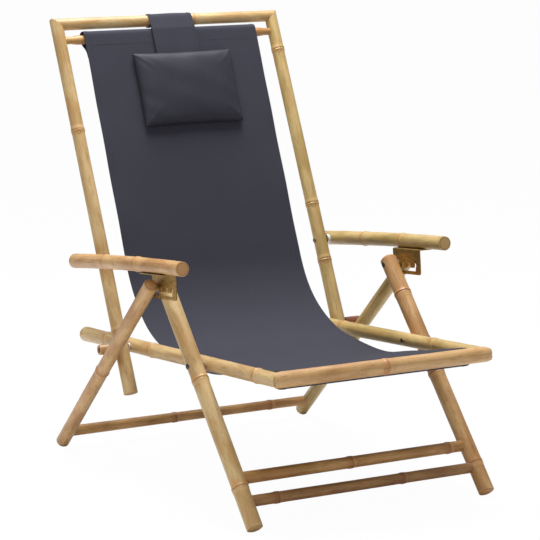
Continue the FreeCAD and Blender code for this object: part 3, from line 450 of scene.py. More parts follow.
def rod(node, body, skin, slot, centre, radius, inside, joints=(), **more):
    """A thin cane let into the two canes on either side of it."""
    half = inside + LET_IN
    cane(node, body, slot, skin, centre - ACROSS * half, centre + ACROSS * half,
         side_point(1.0, 0.0), radius, [half + place for place in joints], **more)


cane_pair("seat_rail", "seat", RAIL_RADIUS, SEAT_REAR, SEAT_FRONT, RAIL_X, 1.0,
          (((0.120, 0.332, 0.768), STRAW, "bamboo"),
           ((0.085, 0.325, 0.670), OLIVE, "bamboo_olive")), mitre=1.0,
          **{"Start dome": 0.0035, "Start power": 5.0, "Bud angle": 2.2, **SEAT_CORNER})
cane("front_rail", "seat", "bamboo", TAN, SEAT_FRONT - ACROSS * RAIL_X,
     SEAT_FRONT + ACROSS * RAIL_X, SEAT_FORWARD, FRONT_RADIUS, (RAIL_X + 0.006,),
     **{"Seed": 4.0, "Bud angle": 0.3, **MITRED, **SEAT_CORNER})
rod("front_sling_rod", "seat", BROWN, "bamboo_brown", FRONT_ROD, ROD_RADIUS,
    RAIL_X - RAIL_RADIUS, Seed=5.0)


# The back frame: two poles that run on below the seat, mitred to the top rail, and the upper
# rod for the canvas, its ends whittled down into the poles.

ARM_PIVOT = side_point(0.2288, 0.4115)
BACK_UP = (ARM_PIVOT - BACK_PIVOT).normalized()
BACK_FRONTWARD = side_point(-BACK_UP.z, BACK_UP.y)
BACK_TOP = BACK_PIVOT + BACK_UP * 0.6901
BACK_LOWER = BACK_PIVOT - BACK_UP * 0.0963
ROD_DOWN, TOP_RADIUS, POLE_RADIUS, POLE_GAP = 0.0354, 0.0120, 0.0132, 0.0039
REAR_ROD = BACK_TOP - BACK_UP * ROD_DOWN
POLE_X = RAIL_X + RAIL_RADIUS + POLE_GAP + POLE_RADIUS

cane_pair("back_pole", "back", POLE_RADIUS, BACK_LOWER, BACK_TOP, POLE_X, 7.0,
          (((0.130, 0.556), STRAW, "bamboo"), ((0.235, 0.360, 0.709), OLIVE, "bamboo_olive")),
          mitre=1.0, **{"Corner radius": 0.0170, "Bud angle": -1.9})
cane("top_rail", "back", "bamboo", STRAW, BACK_TOP - ACROSS * POLE_X, BACK_TOP + ACROSS * POLE_X,
     BACK_UP, TOP_RADIUS, (POLE_X + 0.062,), **{"Corner radius": 0.0160, "Seed": 10.0, **MITRED})
rod("rear_sling_rod", "back", BROWN, "bamboo_brown", REAR_ROD, ROD_RADIUS, POLE_X - POLE_RADIUS,
    Seed=11.0, Whittle=0.036)


# The legs: a front pair with domed tops, joined by two stretchers, and a rear pair that leans
# back on the stubs at the back pivots, joined by one stretcher.

LEG_PIVOT = side_point(-0.0552, 0.4000)
FRONT_LEG_DOWN = (SEAT_PIVOT - LEG_PIVOT).normalized()
LEG_RADIUS, REAR_RADIUS, STUB_RADIUS = 0.0155, 0.01375, 0.0102
LEG_ABOVE, FOOT_BEVEL, LEG_GAP, REAR_GAP, REST_GAP = 0.018, 0.0018, 0.0016, 0.0068, 0.0003
reach = BACK_PIVOT - LEG_PIVOT
apart = REAR_RADIUS + STUB_RADIUS + REST_GAP
lean = math.atan2(reach.z, reach.y) - math.asin(apart / reach.length)
REAR_LEG_DOWN = side_point(math.cos(lean), math.sin(lean))
LEG_X = RAIL_X + RAIL_RADIUS + LEG_GAP + LEG_RADIUS
REAR_X = LEG_X + LEG_RADIUS + REAR_GAP + REAR_RADIUS


def leg_pair(stem, body, down, radius, x, seed, looks):
    """Two legs from above their pivot to the floor, which their bevelled feet just touch."""
    low = max((radius - FOOT_BEVEL) * abs(down.y), radius * abs(down.y) - FOOT_BEVEL * abs(down.z))
    cane_pair(stem, body, radius, LEG_PIVOT - down * LEG_ABOVE,
              LEG_PIVOT + down * ((LEG_PIVOT.z - low) / -down.z), x, seed, looks,
              **{"Start dome": 0.0070, "End dome": FOOT_BEVEL, "Start power": 3.2,
                 "Bud angle": -2.0})


leg_pair("front_leg", "front_frame", FRONT_LEG_DOWN, LEG_RADIUS, LEG_X, 13.0,
         (((0.229, 0.460), STRAW, "bamboo"), ((0.090, 0.277, 0.482), TAN, "bamboo")))
leg_pair("rear_leg", "rear_legs", REAR_LEG_DOWN, REAR_RADIUS, REAR_X, 16.0,
         (((0.318,), TAN, "bamboo"), ((0.412,), OLIVE, "bamboo_olive")))
front_inside, rear_inside = LEG_X - LEG_RADIUS, REAR_X - REAR_RADIUS
for node, body, skin, down, radius, inside, joints, seed in (
        ("upper_front_stretcher", "front_frame", BROWN, FRONT_LEG_DOWN * 0.422, 0.01075,
         front_inside, (-0.011, 0.206), 18.0),
        ("lower_front_stretcher", "front_frame", UMBER, FRONT_LEG_DOWN * 0.4705, 0.0102,
         front_inside, (-0.186, 0.084), 19.0),
        ("rear_stretcher", "rear_legs", BROWN, REAR_LEG_DOWN * 0.542, 0.0100,
         rear_inside, (-0.041, 0.189), 20.0)):
    rod(node, body, skin, "bamboo_brown", LEG_PIVOT + down, radius, inside, joints, Seed=seed)


# The armrests: thicker canes with swollen joints, each bowing up a little between its back
# pivot and its sawn front end.

ARM_RADIUS, ARM_REAR, ARM_FRONT = 0.0140, 0.0633, 0.4326
ARM_FORWARD = side_point(-0.430, 0.047).normalized()

cane_pair("armrest", None, ARM_RADIUS, ARM_PIVOT - ARM_FORWARD * ARM_REAR,
          ARM_PIVOT + ARM_FORWARD * ARM_FRONT, REAR_X, 22.0,
          (((ARM_REAR + 0.095, ARM_REAR + 0.242), TAN, "bamboo"),
           ((ARM_REAR + 0.131, ARM_REAR + 0.280), OLIVE, "bamboo")),
          sideways=side_point(ARM_FORWARD.z, -ARM_FORWARD.y),
          **{"Bow": 0.00306, "Swell": 0.0015, "Wander": 0.0012, "Start dome": 0.0025,
             "Start power": 7.0, "Bud angle": -1.2})


# The short hollow stubs outside the back pivots, cut from thin red-brown cane.
# The rear legs rest against them, and the pivot bolt sits down inside.

BOLT_HOLE = 0.00305
STUB_START = POLE_X + POLE_RADIUS + LEG_GAP
STUB_LENGTH, STUB_DEPTH, STUB_BORE = 0.0348, 0.0148, 0.0064


def lathe(name, outline, turns, degrees, hexagons=0):
    """Turn an outline of (radius, height) points about Z.

    It closes into a ring. With some first rings drawn as hexagons it is a capped bolt instead.
    """
    made = bmesh.new()
    rings = []
    for number, (radius, height) in enumerate(outline):
        ring = []
        for k in range(turns):
            angle = 2 * math.pi * k / turns
            out = radius
            if number < hexagons:
                wedge = (angle + math.pi / 6) % (math.pi / 3) - math.pi / 6
                out = radius * math.cos(math.pi / 6) / math.cos(wedge)
            ring.append(made.verts.new((out * math.cos(angle), out * math.sin(angle), height)))
        rings.append(ring)
    for lower, upper in zip(rings, rings[1:] + ([] if hexagons else rings[:1])):
        for k in range(turns):
            after = (k + 1) % turns
            made.faces.new((lower[k], lower[after], upper[after], upper[k]))
    if hexagons:
        made.faces.new(rings[0])
        made.faces.new(rings[-1])
    bmesh.ops.recalc_face_normals(made, faces=made.faces)
    mesh = bpy.data.meshes.new(name)
    made.to_mesh(mesh)
    made.free()
    smooth(mesh, degrees)
    return mesh


def dressed(name, mesh, material, body, slot, *nodes):
    """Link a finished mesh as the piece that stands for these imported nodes."""
    piece = placed(name, mesh)
    mesh.materials.clear()
    mesh.materials.append(material)
    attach(piece, body)
    if nodes:
        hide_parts(*nodes)
    return piece


def both_sides(name, mesh, pivot, x):
    """A mesh drawn along Z, laid along X at the right side and mirrored to the left."""
    made = bmesh.new()
    for sign in (1, -1):
        copy = mesh.copy()
        turn = Matrix.Rotation(math.pi / 2 * sign, 4, "Y")
        copy.transform(Matrix.Translation(pivot + ACROSS * sign * x) @ turn)
        made.from_mesh(copy)
    joined = bpy.data.meshes.new(name)
    made.to_mesh(joined)
    made.free()
    smooth(joined, 32.0)
    return joined


def stub_cane():
    """Streaks along X, and the left stub tinted paler than the right."""
    board = new_material("Stub cane")
    at = board.place()
    streak = board.grain(at, (30, 900, 900), 3.0, 0.6)
    cloud = board.grain(at, (40, 120, 120))
    x, _, _ = board.split(at)
    skin = board.tint(board.between(cloud, 0.35, 0.65), (160, 96, 68), (122, 70, 48))
    skin = board.tint(board.between(-x, 0.0, 0.1) * 0.85, skin, (196, 156, 104))
    skin = board.tint(board.between(streak, 0.5, 0.75) * 0.45, skin, (84, 46, 30))
    return finish_material(board, {
        "Base Color": skin, "Roughness": 0.26 + cloud * 0.15, "Coat Weight": 0.4,
        "Normal": board.bump(0.3, 0.0003, streak), "Coat Roughness": 0.12})


stub_outline = [(BOLT_HOLE, 0.0), (STUB_RADIUS - 0.0006, 0.0), (STUB_RADIUS, 0.0006),
                (STUB_RADIUS + 0.0002, 0.017), (STUB_RADIUS, STUB_LENGTH - 0.0007),
                (STUB_RADIUS - 0.0007, STUB_LENGTH), (STUB_BORE + 0.0005, STUB_LENGTH),
                (STUB_BORE, STUB_LENGTH - 0.0006), (STUB_BORE, STUB_DEPTH),
                (BOLT_HOLE, STUB_DEPTH)]
stub_mesh = both_sides("cane_stubs", lathe("stub", stub_outline, 40, 30.0), BACK_PIVOT, STUB_START)
dressed("cane_stubs", stub_mesh, stub_cane(), "back_pivots", "bamboo_stub", "back_pivot_stubs")


# Bolts, nuts, washers and bracket screws. Button heads with a hexagon socket, zinc plated and
# toned brown, with bright washers and pale nylon spacers between the canes.

def metal(name, tone, dark, rough=0.32):
    board = new_material(name)
    cloud = board.grain(board.place(), 220, 3.0, 0.6)
    grain = board.grain(board.place(), 2400)
    return finish_material(board, {
        "Base Color": board.tint(board.between(cloud, 0.38, 0.68) * 0.5, tone, dark),
        "Metallic": 1.0 - cloud * 0.15, "Roughness": rough + cloud * 0.22,
        "Normal": board.bump(0.12, 0.0002, grain)})


def nylon(name):
    board = new_material(name)
    cloud = board.grain(board.place(), 300)
    return finish_material(board, {
        "Base Color": board.tint(cloud * 0.5, (226, 222, 208), (206, 200, 184)),
        "Roughness": 0.42 + cloud * 0.15})


BRONZED = metal("Bronzed zinc bolt", (150, 128, 92), (88, 74, 56))
DARK_STEEL = metal("Dark steel", (92, 86, 80), (46, 42, 40))
BRIGHT = metal("Bright zinc", (205, 205, 203), (160, 160, 160), 0.26)
NYLON = nylon("Natural nylon")


def bolt_tree():
    """Instances one fastener at a pivot on both sides, facing outward or inward."""
    board, ask = open_tree("Fastener pair", {"Out": 0.0, "Along": 0.0, "Up": 0.0, "Facing": 0.0,
                                             "Fastener": "Object", "Finish": "Material"})
    side = board.put("GeometryNodeInputIndex") * 2.0 - 1.0
    points = board.put("GeometryNodePoints", None, {"Count": 2, "Position": board.join(
        side * ask["Out"], ask["Along"], ask["Up"])})
    turn = board.join(0.0, side * ask["Facing"] * (math.pi / 2), 0.0)
    model = board.put("GeometryNodeObjectInfo", None, {"Object": ask["Fastener"]}, "Geometry")
    both = board.put("GeometryNodeInstanceOnPoints", None,
                     {"Points": points, "Instance": model, "Rotation": turn})
    return close_tree(board, both, ask["Finish"])


FASTENER_TREE = bolt_tree()
HEAD_HIGH, HEAD_SET, SEAT_SHANK, ARM_TIP = 0.0032, 0.00075, 0.0545, 0.0155
SHANK_RADIUS, HEAD_RADIUS, SOCKET_RADIUS = 0.0030, 0.0060, 0.0024


def button_bolts(stem, pivot, head, tip, facing, finish, body):
    """Two domed bolts with a hexagon socket, from the head's outer face to the shank's tip."""
    outline = [(SOCKET_RADIUS, 0.0018), (SOCKET_RADIUS, 0.0), (0.0034, 0.00008), (0.0046, 0.0006),
               (0.0055, 0.0014), (HEAD_RADIUS, 0.0024), (HEAD_RADIUS, HEAD_HIGH),
               (SHANK_RADIUS, HEAD_HIGH), (SHANK_RADIUS, abs(tip - head))]
    model = placed(stem + "_model", lathe("button_bolt", outline, 36, 35.0, hexagons=2))
    piece = grown("bolts_" + stem, FASTENER_TREE, {
        "Out": head, "Along": pivot.y, "Up": pivot.z, "Facing": facing, "Fastener": model,
        "Finish": finish})
    bpy.data.objects.remove(model)
    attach(piece, body)
    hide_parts(stem + "_bolts")


seat_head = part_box("seat_pivot_bolts")[1].x
arm_head = POLE_X - POLE_RADIUS + HEAD_SET - HEAD_HIGH
leg_head = LEG_X - LEG_RADIUS + HEAD_SET - HEAD_HIGH
button_bolts("seat_pivot", SEAT_PIVOT, seat_head, seat_head - SEAT_SHANK, -1.0, DARK_STEEL,
             "front_frame")
button_bolts("arm_pivot", ARM_PIVOT, arm_head, REAR_X - ARM_RADIUS + ARM_TIP, 1.0, BRONZED,
             "arm_pivots")
button_bolts("leg_pivot", LEG_PIVOT, leg_head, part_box("leg_pivot_bolts")[1].x - 0.0002, 1.0,
             DARK_STEEL, "front_frame")


def rounded_washer(node, material, body, slot):
    """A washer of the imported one's size with its sharp edges taken off."""
    low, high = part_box(node)
    outer = (high.z - low.z) / 2
    inside = min(abs(v.co.x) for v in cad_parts[node].data.vertices)
    thick = high.x - inside
    edge = min(0.0002, thick * 0.3)
    outline = [(BOLT_HOLE, 0.0), (outer - edge, 0.0), (outer, edge), (outer, thick - edge),
               (outer - edge, thick), (BOLT_HOLE, thick)]
    pivot = side_point((low.y + high.y) / 2, (low.z + high.z) / 2)
    mesh = both_sides("ring_" + node, lathe(node, outline, 40, 30.0), pivot, inside)
    dressed("ring_" + node, mesh, material, body, slot, node)


for node, material, body, slot in (
        ("seat_pivot_washers", BRIGHT, "seat", "washer_steel"),
        ("stub_washers", DARK_STEEL, "back_pivots", "washer_dark"),
        ("back_washers_inner", BRIGHT, "back_pivots", "washer_steel"),
        ("back_washers_outer", NYLON, "back_pivots", "nylon"),
        ("arm_washers_inner", BRIGHT, "arm_pivots", "washer_steel"),
        ("arm_spacers", NYLON, "arm_pivots", "nylon"),
        ("arm_washers_outer", BRIGHT, "arm_pivots", "washer_steel"),
        ("leg_washers_front", BRIGHT, "front_frame", "washer_steel"),
        ("leg_washers_rear", BRIGHT, "rear_legs", "washer_steel")):
    rounded_washer(node, material, body, slot)


def keep_solid(node, material):
    """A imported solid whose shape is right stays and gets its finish."""
    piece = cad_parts[node]
    piece.data.materials.clear()
    piece.data.materials.append(material)


for node in ("seat_pivot_nuts", "back_pivot_nuts", "back_pivot_bolts", "rear_leg_pins",
             "bracket_screws_left", "bracket_screws_right"):
    keep_solid(node, BRONZED)


# The notched brackets: pressed 2 mm steel, yellow zinc plated. The plating runs from olive to
# bronze with a rainbow cast.

def yellow_zinc():
    board = new_material("Yellow zinc")
    cloud = board.grain(board.place(), (45, 45, 70), 3.0, 0.6)
    grain = board.grain(board.place(), 1800)
    cast = board.put("ShaderNodeValToRGB", {"stops": [
        (0.34, (132, 106, 54)), (0.46, (182, 146, 82)), (0.56, (150, 122, 64)),
        (0.66, (196, 152, 92))]}, {"Fac": cloud})
    return finish_material(board, {
        "Base Color": cast, "Metallic": 0.85, "Roughness": 0.34 + cloud * 0.18,
        "Normal": board.bump(0.1, 0.0002, grain)})


ZINC = yellow_zinc()
for side, _ in SIDES:
    keep_solid("bracket_" + side, ZINC)


# The canvas: one sheet of plain-woven slate cloth, 400 mm wide, with a loose pocket over each
# rod. It hangs in its own curve between them, its long edges hemmed and stitched.

def canvas(name, thread, shadow, gloss=0.8):
    board = new_material(name)
    weave = board.attribute("weave", "Vector")
    across, along, _ = board.split(weave)
    slub = board.grain(weave, (45, 900, 1))
    nap = board.grain(weave, (900, 60, 1))
    cloud = board.grain(weave, (9, 9, 1), 3.0, 0.6)
    shade = board.tint(board.between(cloud, 0.3, 0.7) * 0.35, thread, shadow)
    shade = board.tint(board.between(slub + nap, 0.85, 1.25) * 0.2, shade, (66, 67, 79))
    threads = board.maths("SINE", across * 5200.0) * board.maths("SINE", along * 5200.0)
    return finish_material(board, {
        "Base Color": shade, "Roughness": gloss + slub * 0.1, "Specular IOR Level": 0.16,
        "Normal": board.bump(0.28, 0.0003, threads * 0.5 + slub * 0.9 + nap * 0.9)})


SLATE = canvas("Slate canvas", (59, 59, 69), (53, 54, 63))
CLOTH, SLING_HALF = 0.0015, 0.200
GAP, HAIR = 0.0004, 0.0001


def rounded_line(corners, step, turn_step=0.22):
    """Points and travel directions along a line of (point, radius) corners."""
    spots = []
    here = corners[0][0]
    for index in range(1, len(corners)):
        corner, radius = corners[index]
        into = (corner - corners[index - 1][0]).normalized()
        last = index == len(corners) - 1
        start = corner
        if not last:
            away = (corners[index + 1][0] - corner).normalized()
            turn = math.acos(max(-1.0, min(1.0, into.dot(away))))
            start = corner - into * (radius * math.tan(turn / 2))
        count = max(2, int((start - here).length / step))
        spots += [(here.lerp(start, k / count), into) for k in range(count)]
        if last:
            spots.append((corner, into))
            break
        hand = 1.0 if into.y * away.z - into.z * away.y > 0 else -1.0
        centre = start + side_point(-into.z, into.y) * hand * radius
        count = max(3, int(max(radius * turn / step, turn / turn_step)))
        for k in range(count):
            spin = Matrix.Rotation(turn * k / count * hand, 3, "X")
            spots.append((centre + spin @ (start - centre), spin @ into))
        here = corner + away * (radius * math.tan(turn / 2))
    return spots


SLING_BEND, SLING_DIP = side_point(0.1758, 0.2680), side_point(-0.1002, 0.2320)
SLING_FRONT, SLING_TOP, HEM_DROP, HEM_TAIL = 0.013, 0.016, 0.030, 0.012
POCKET_LOW, POCKET_LONG = 0.0108, 0.044


def sling_line():
    """The sheet's middle line from the rear pocket's hem, over both rods, to the front hem."""
    up = (REAR_ROD + BACK_FRONTWARD * SLING_FRONT - SLING_BEND).normalized()
    frontward = side_point(-up.z, up.y)
    over, hem_rise = ROD_RADIUS + GAP, CLOTH + GAP
    clear = over + 0.5 * CLOTH
    hem_front = SLING_FRONT - hem_rise
    rear_hem = REAR_ROD - up * HEM_DROP + frontward * hem_front
    tilt = (math.atan2(hem_front, HEM_DROP)
            + math.asin((clear + HAIR) / math.hypot(hem_front, HEM_DROP)))
    turn_up = (hem_front + clear + HAIR) / math.tan(tilt) - HEM_DROP
    behind, before = REAR_ROD - frontward * (clear + HAIR), REAR_ROD + frontward * SLING_FRONT
    forward = (FRONT_ROD + SEAT_RISE * clear - SLING_DIP).normalized()
    rise = side_point(forward.z, -forward.y)
    low = FRONT_ROD - rise * (POCKET_LOW + clear)
    front_hem = FRONT_ROD - forward * POCKET_LONG + rise * (clear - hem_rise)
    return [(rear_hem - up * HEM_TAIL, 0.0), (rear_hem, 0.025), (behind + up * turn_up, clear),
            (behind + up * SLING_TOP, over), (before + up * SLING_TOP, over),
            (SLING_BEND, 0.230), (SLING_DIP, 0.500),
            (FRONT_ROD + rise * clear + forward * clear, clear - HAIR),
            (low + forward * clear, clear - HAIR), (low - forward * clear, clear - 3 * HAIR),
            (front_hem, 0.020), (front_hem - forward * HEM_TAIL, 0.0)]


def running_length(spots):
    total = [0.0]
    for (here, _), (there, _) in zip(spots, spots[1:]):
        total.append(total[-1] + (there - here).length)
    return total


def clamped(value):
    return max(0.0, min(1.0, value))


def sheet_faces(wide, long, flipped=False):
    """Quads over two facing grids of points and along their rim, and the rim's steps."""
    offset = wide * long
    faces = []
    for bank in (0, 1):
        for row in range(long - 1):
            for column in range(wide - 1):
                here = bank * offset + row * wide + column
                quad = (here, here + 1, here + wide + 1, here + wide)
                faces.append(quad[::-1] if flipped == bool(bank) else quad)
    rim = ([(k, k + 1) for k in range(wide - 1)]
           + [(row * wide + wide - 1, (row + 1) * wide + wide - 1) for row in range(long - 1)]
           + [((long - 1) * wide + k + 1, (long - 1) * wide + k) for k in range(wide - 1)]
           + [((row + 1) * wide, row * wide) for row in range(long - 1)])
    faces += [(b, a, a + offset, b + offset) if flipped else (a, b, b + offset, a + offset)
              for a, b in rim]
    return faces, rim


FOLD, FOLD_SLOPE, RIM_SHARE = 0.00035, 0.0012, 0.45


def cloth_strip(name, spots, run, lift, left, right, columns, thickness, hem):
    """A sheet with thickness along a side-view line, hemmed along both long edges."""
    xs = [left + (right - left) * k / columns for k in range(columns + 1)]
    edge = [left + hem * k / 3 for k in range(4)]
    xs = sorted(set([round(x, 6) for x in xs if left + hem < x < right - hem]
                    + [round(x, 6) for x in edge] + [round(left + right - x, 6) for x in edge]))
    verts, marks = [], []
    for bank in (1.0, -1.0):
        for (spot, travel), distance in zip(spots, run):
            normal = side_point(-travel.z, travel.y)
            for x in xs:
                near = min(x - left, right - x)
                fold = FOLD * clamped((hem - near) / FOLD_SLOPE)
                rim = 1.0 if near > 1e-6 else RIM_SHARE
                out = normal * (bank * (thickness / 2 + fold) * rim + lift(x, distance))
                verts.append(spot + out + ACROSS * x)
                marks.append((x, distance, bank))
    mesh = bpy.data.meshes.new(name)
    mesh.from_pydata(verts, [], sheet_faces(len(xs), len(spots))[0])
    mesh.update()
    weave = mesh.attributes.new("weave", "FLOAT_VECTOR", "POINT")
    weave.data.foreach_set("vector", [c for mark in marks for c in mark])
    made = bmesh.new()
    made.from_mesh(mesh)
    bmesh.ops.recalc_face_normals(made, faces=made.faces)
    made.to_mesh(mesh)
    made.free()
    smooth(mesh, 50.0)
    mesh.materials.append(SLATE)
    return mesh


SLING_SPOTS = rounded_line(sling_line(), 0.0055)
SLING_RUN = running_length(SLING_SPOTS)
SPLIT = min(range(len(SLING_SPOTS)),
            key=lambda k: (SLING_SPOTS[k][0] - side_point(0.176, 0.262)).length)
FLAT_START = next(k for k, (spot, travel) in enumerate(SLING_SPOTS)
                  if SLING_RUN[k] > 0.10 and travel.z < -0.5)


def sling_lift(x, distance):
    """Slack of the cloth out of its plane: a shallow trough and soft pulls off the pockets."""
    start, stop = SLING_RUN[FLAT_START] + 0.02, SLING_RUN[-1] - 0.105
    inside = clamped((distance - start) / 0.12) * clamped((stop - distance) / 0.10)
    inside = inside * inside * (3 - 2 * inside)
    share = x / SLING_HALF
    trough = 0.0035 * (1 - share * share) - 0.0012
    pull = 0.0007 * math.sin(share * 9.0 + distance * 7.0) * math.exp(-abs(distance - start) / 0.09)
    wave = 0.0009 * math.sin(share * 5.2 + distance * 16.0) * math.exp(-abs(distance - stop) / 0.11)
    edge = 0.0008 * abs(share) ** 6 * math.sin(distance * 38.0 + share)
    return inside * (pull + wave + edge - trough)


BACK_PART, SEAT_PART = slice(0, SPLIT + 1), slice(SPLIT, None)
sling_back, sling_seat = [
    placed(name, cloth_strip(name, SLING_SPOTS[part], SLING_RUN[part], sling_lift,
                             -SLING_HALF, SLING_HALF, 72, CLOTH, 0.011))
    for name, part in (("sling_back", BACK_PART), ("sling_seat", SEAT_PART))]


# The stitches: rows of short slate thread along each hem, drawn by one tree that lays a
# stitch at every step of a line.

def stitch_tree():
    board, ask = open_tree("Stitch row", {"Line": "Object", "Step": 0.0042, "Thick": 0.0006,
                                          "Thread": "Material"})
    line = board.put("GeometryNodeObjectInfo", None, {"Object": ask["Line"]}, "Geometry")
    line = board.put("GeometryNodeMeshToCurve", None, {"Mesh": line})
    points = board.put("GeometryNodeCurveToPoints", {"mode": "LENGTH"},
                       {"Curve": line, "Length": ask["Step"]}, "Points")
    bead = board.put("GeometryNodeMeshUVSphere", None, {"Segments": 6, "Rings": 5, "Radius": 0.5})
    size = board.join(ask["Thick"], ask["Thick"], ask["Step"] * 0.8)
    row = board.put("GeometryNodeInstanceOnPoints", None,
                    {"Points": points, "Instance": bead, "Scale": size,
                     "Rotation": board.also(points, "Rotation")})
    return close_tree(board, row, ask["Thread"])


def slate_thread():
    board = new_material("Slate thread")
    twist = board.grain(board.place(), 2500, 1.0)
    return finish_material(board, {
        "Base Color": board.tint(twist * 0.6, (58, 59, 68), (84, 85, 96)),
        "Roughness": 0.6 + twist * 0.2})


STITCH_TREE, THREAD = stitch_tree(), slate_thread()
THREAD_LIFT = 0.0002


def stitches(name, lines, step=0.0042):
    """A row of stitches along each line of points."""
    verts, edges = [], []
    for line in lines:
        edges += [(len(verts) + k, len(verts) + k + 1) for k in range(len(line) - 1)]
        verts += line
    mesh = bpy.data.meshes.new(name + "_line")
    mesh.from_pydata(verts, edges, [])
    guide = placed(name + "_line", mesh)
    piece = grown(name, STITCH_TREE, {"Line": guide, "Step": step, "Thick": 0.0006,
                                      "Thread": THREAD})
    bpy.data.objects.remove(guide)
    return piece


def on_sheet(spot, travel, distance, lift, x, face, thickness):
    """A point on one face of a sheet, lifted by the thread's own thickness."""
    normal = side_point(-travel.z, travel.y)
    out = face * (thickness / 2 + THREAD_LIFT) + lift(x, distance)
    return spot + normal * out + ACROSS * x


def hem_rows(spots, run, lift, xs, thickness):
    """Lines along both hems of a strip, on both faces."""
    return [[on_sheet(spot, travel, distance, lift, x, face, thickness + 2 * FOLD)
             for (spot, travel), distance in zip(spots, run)] for x in xs for face in (1.0, -1.0)]


def cross_row(number, face, half, count=40):
    """A line from side to side across the sling."""
    return [on_sheet(*SLING_SPOTS[number], SLING_RUN[number], sling_lift,
                     half * (2 * k / count - 1), face, CLOTH) for k in range(count + 1)]


HEM_AT = SLING_HALF - 0.0085
seam_at = SLING_RUN[FLAT_START] + 0.012
rear_seam = min(range(len(SLING_RUN)), key=lambda k: abs(SLING_RUN[k] - seam_at))
back_rows, seat_rows = [hem_rows(SLING_SPOTS[part], SLING_RUN[part], sling_lift,
                                 (-HEM_AT, HEM_AT), CLOTH) for part in (BACK_PART, SEAT_PART)]
back_rows += [cross_row(rear_seam, face, SLING_HALF - 0.012) for face in (1.0, -1.0)]
sling_back_stitches = stitches("sling_back_stitches", back_rows)
sling_seat_stitches = stitches("sling_seat_stitches", seat_rows)

BEND_SPOT = SLING_SPOTS[SPLIT][0]
for piece in (sling_back, sling_back_stitches):
    BEND_SPOT + BACK_UP * 0.10
    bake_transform(piece)
for piece in (sling_seat, sling_seat_stitches):
    BEND_SPOT + SEAT_FORWARD * 0.12
    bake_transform(piece)
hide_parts("sling")
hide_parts("sling")


# The strap: a band of the same cloth, folded over the top rail and closed on itself with a
# hook-and-loop pad. The head pillow hangs from its front layer.

STRAP_THICK, STRAP_LEFT, STRAP_RIGHT, STRAP_DROP, STRAP_TAIL = 0.0014, -0.046, 0.054, 0.083, 0.060
STRAP_HEM = 0.006


def back_point(down, frontward):
    return BACK_TOP - BACK_UP * down + BACK_FRONTWARD * frontward


def sheet_front(down):
    """How far the canvas lies before the poles' centre lines at a given height."""
    start = REAR_ROD + BACK_FRONTWARD * SLING_FRONT
    slope = (start - SLING_BEND).normalized()
    run = (down - ROD_DOWN) / slope.dot(BACK_UP)
    return (start - slope * run - BACK_TOP).dot(BACK_FRONTWARD) + 0.5 * CLOTH


def strap_line():
    """The band's middle line: up behind its front layer, round the rail and down to the pillow."""
    clear = GAP + 0.5 * STRAP_THICK
    rail, layer = TOP_RADIUS + clear, STRAP_THICK + GAP + 0.0016
    top = sheet_front(ROD_DOWN) + clear + 0.0006
    turn = rail - 0.0002
    return [(back_point(STRAP_TAIL, sheet_front(STRAP_TAIL) + clear), 0.0),
            (back_point(rail, top), 0.003), (back_point(rail, -rail), turn),
            (back_point(-rail, -rail), turn), (back_point(-rail, rail + GAP), turn),
            (back_point(0.024, top + layer), 0.012),
            (back_point(STRAP_DROP, sheet_front(STRAP_DROP) + clear + layer), 0.0)]


def strap_lift(x, distance):
    share = (2 * x - STRAP_LEFT - STRAP_RIGHT) / (STRAP_RIGHT - STRAP_LEFT)
    return 0.0003 * math.sin(share * 4.0 + distance * 40.0)


STRAP_SPOTS = rounded_line(strap_line(), 0.0035)
STRAP_RUN = running_length(STRAP_SPOTS)
strap_mesh = cloth_strip("strap_band", STRAP_SPOTS, STRAP_RUN, strap_lift, STRAP_LEFT,
                         STRAP_RIGHT, 24, STRAP_THICK, 0.008)
strap_rows = hem_rows(STRAP_SPOTS, STRAP_RUN, strap_lift,
                      (STRAP_LEFT + STRAP_HEM, STRAP_RIGHT - STRAP_HEM), STRAP_THICK)
strap_stitches = stitches("strap_stitches", strap_rows, 0.0036)
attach(strap_stitches, "back")
strap_band = dressed("strap_band", strap_mesh, SLATE, "back", "canvas", "strap")


def hook_tape():
    board = new_material("Hook tape")
    hooks = board.grain(board.place(), 1400, 1.0)
    return finish_material(board, {
        "Base Color": board.tint(hooks, (28, 28, 32), (64, 64, 72)),
        "Roughness": 0.7 + hooks * 0.2, "Normal": board.bump(0.6, 0.0005, hooks)})


keep_solid("strap_pad", hook_tape())


# The head pillow: two panels of the slate cloth sewn all round and stuffed, hung from the
# strap. The stuffing is blown up by simulation, then filled out towards the sewn edge.

PILLOW_LEFT, PILLOW_RIGHT, PILLOW_TOP, PILLOW_LONG = -0.106, 0.125, 0.077, 0.161
PILLOW_CROWN, PILLOW_BACK, PILLOW_CLEAR = 0.0225, 0.0046, 0.0012
PRESSURE, FRAMES, FARTHEST, FILL_OUT = 4.0, 20, 0.03, 0.52
COLUMNS, ROWS, SEWN_IN = 66, 46, 0.985


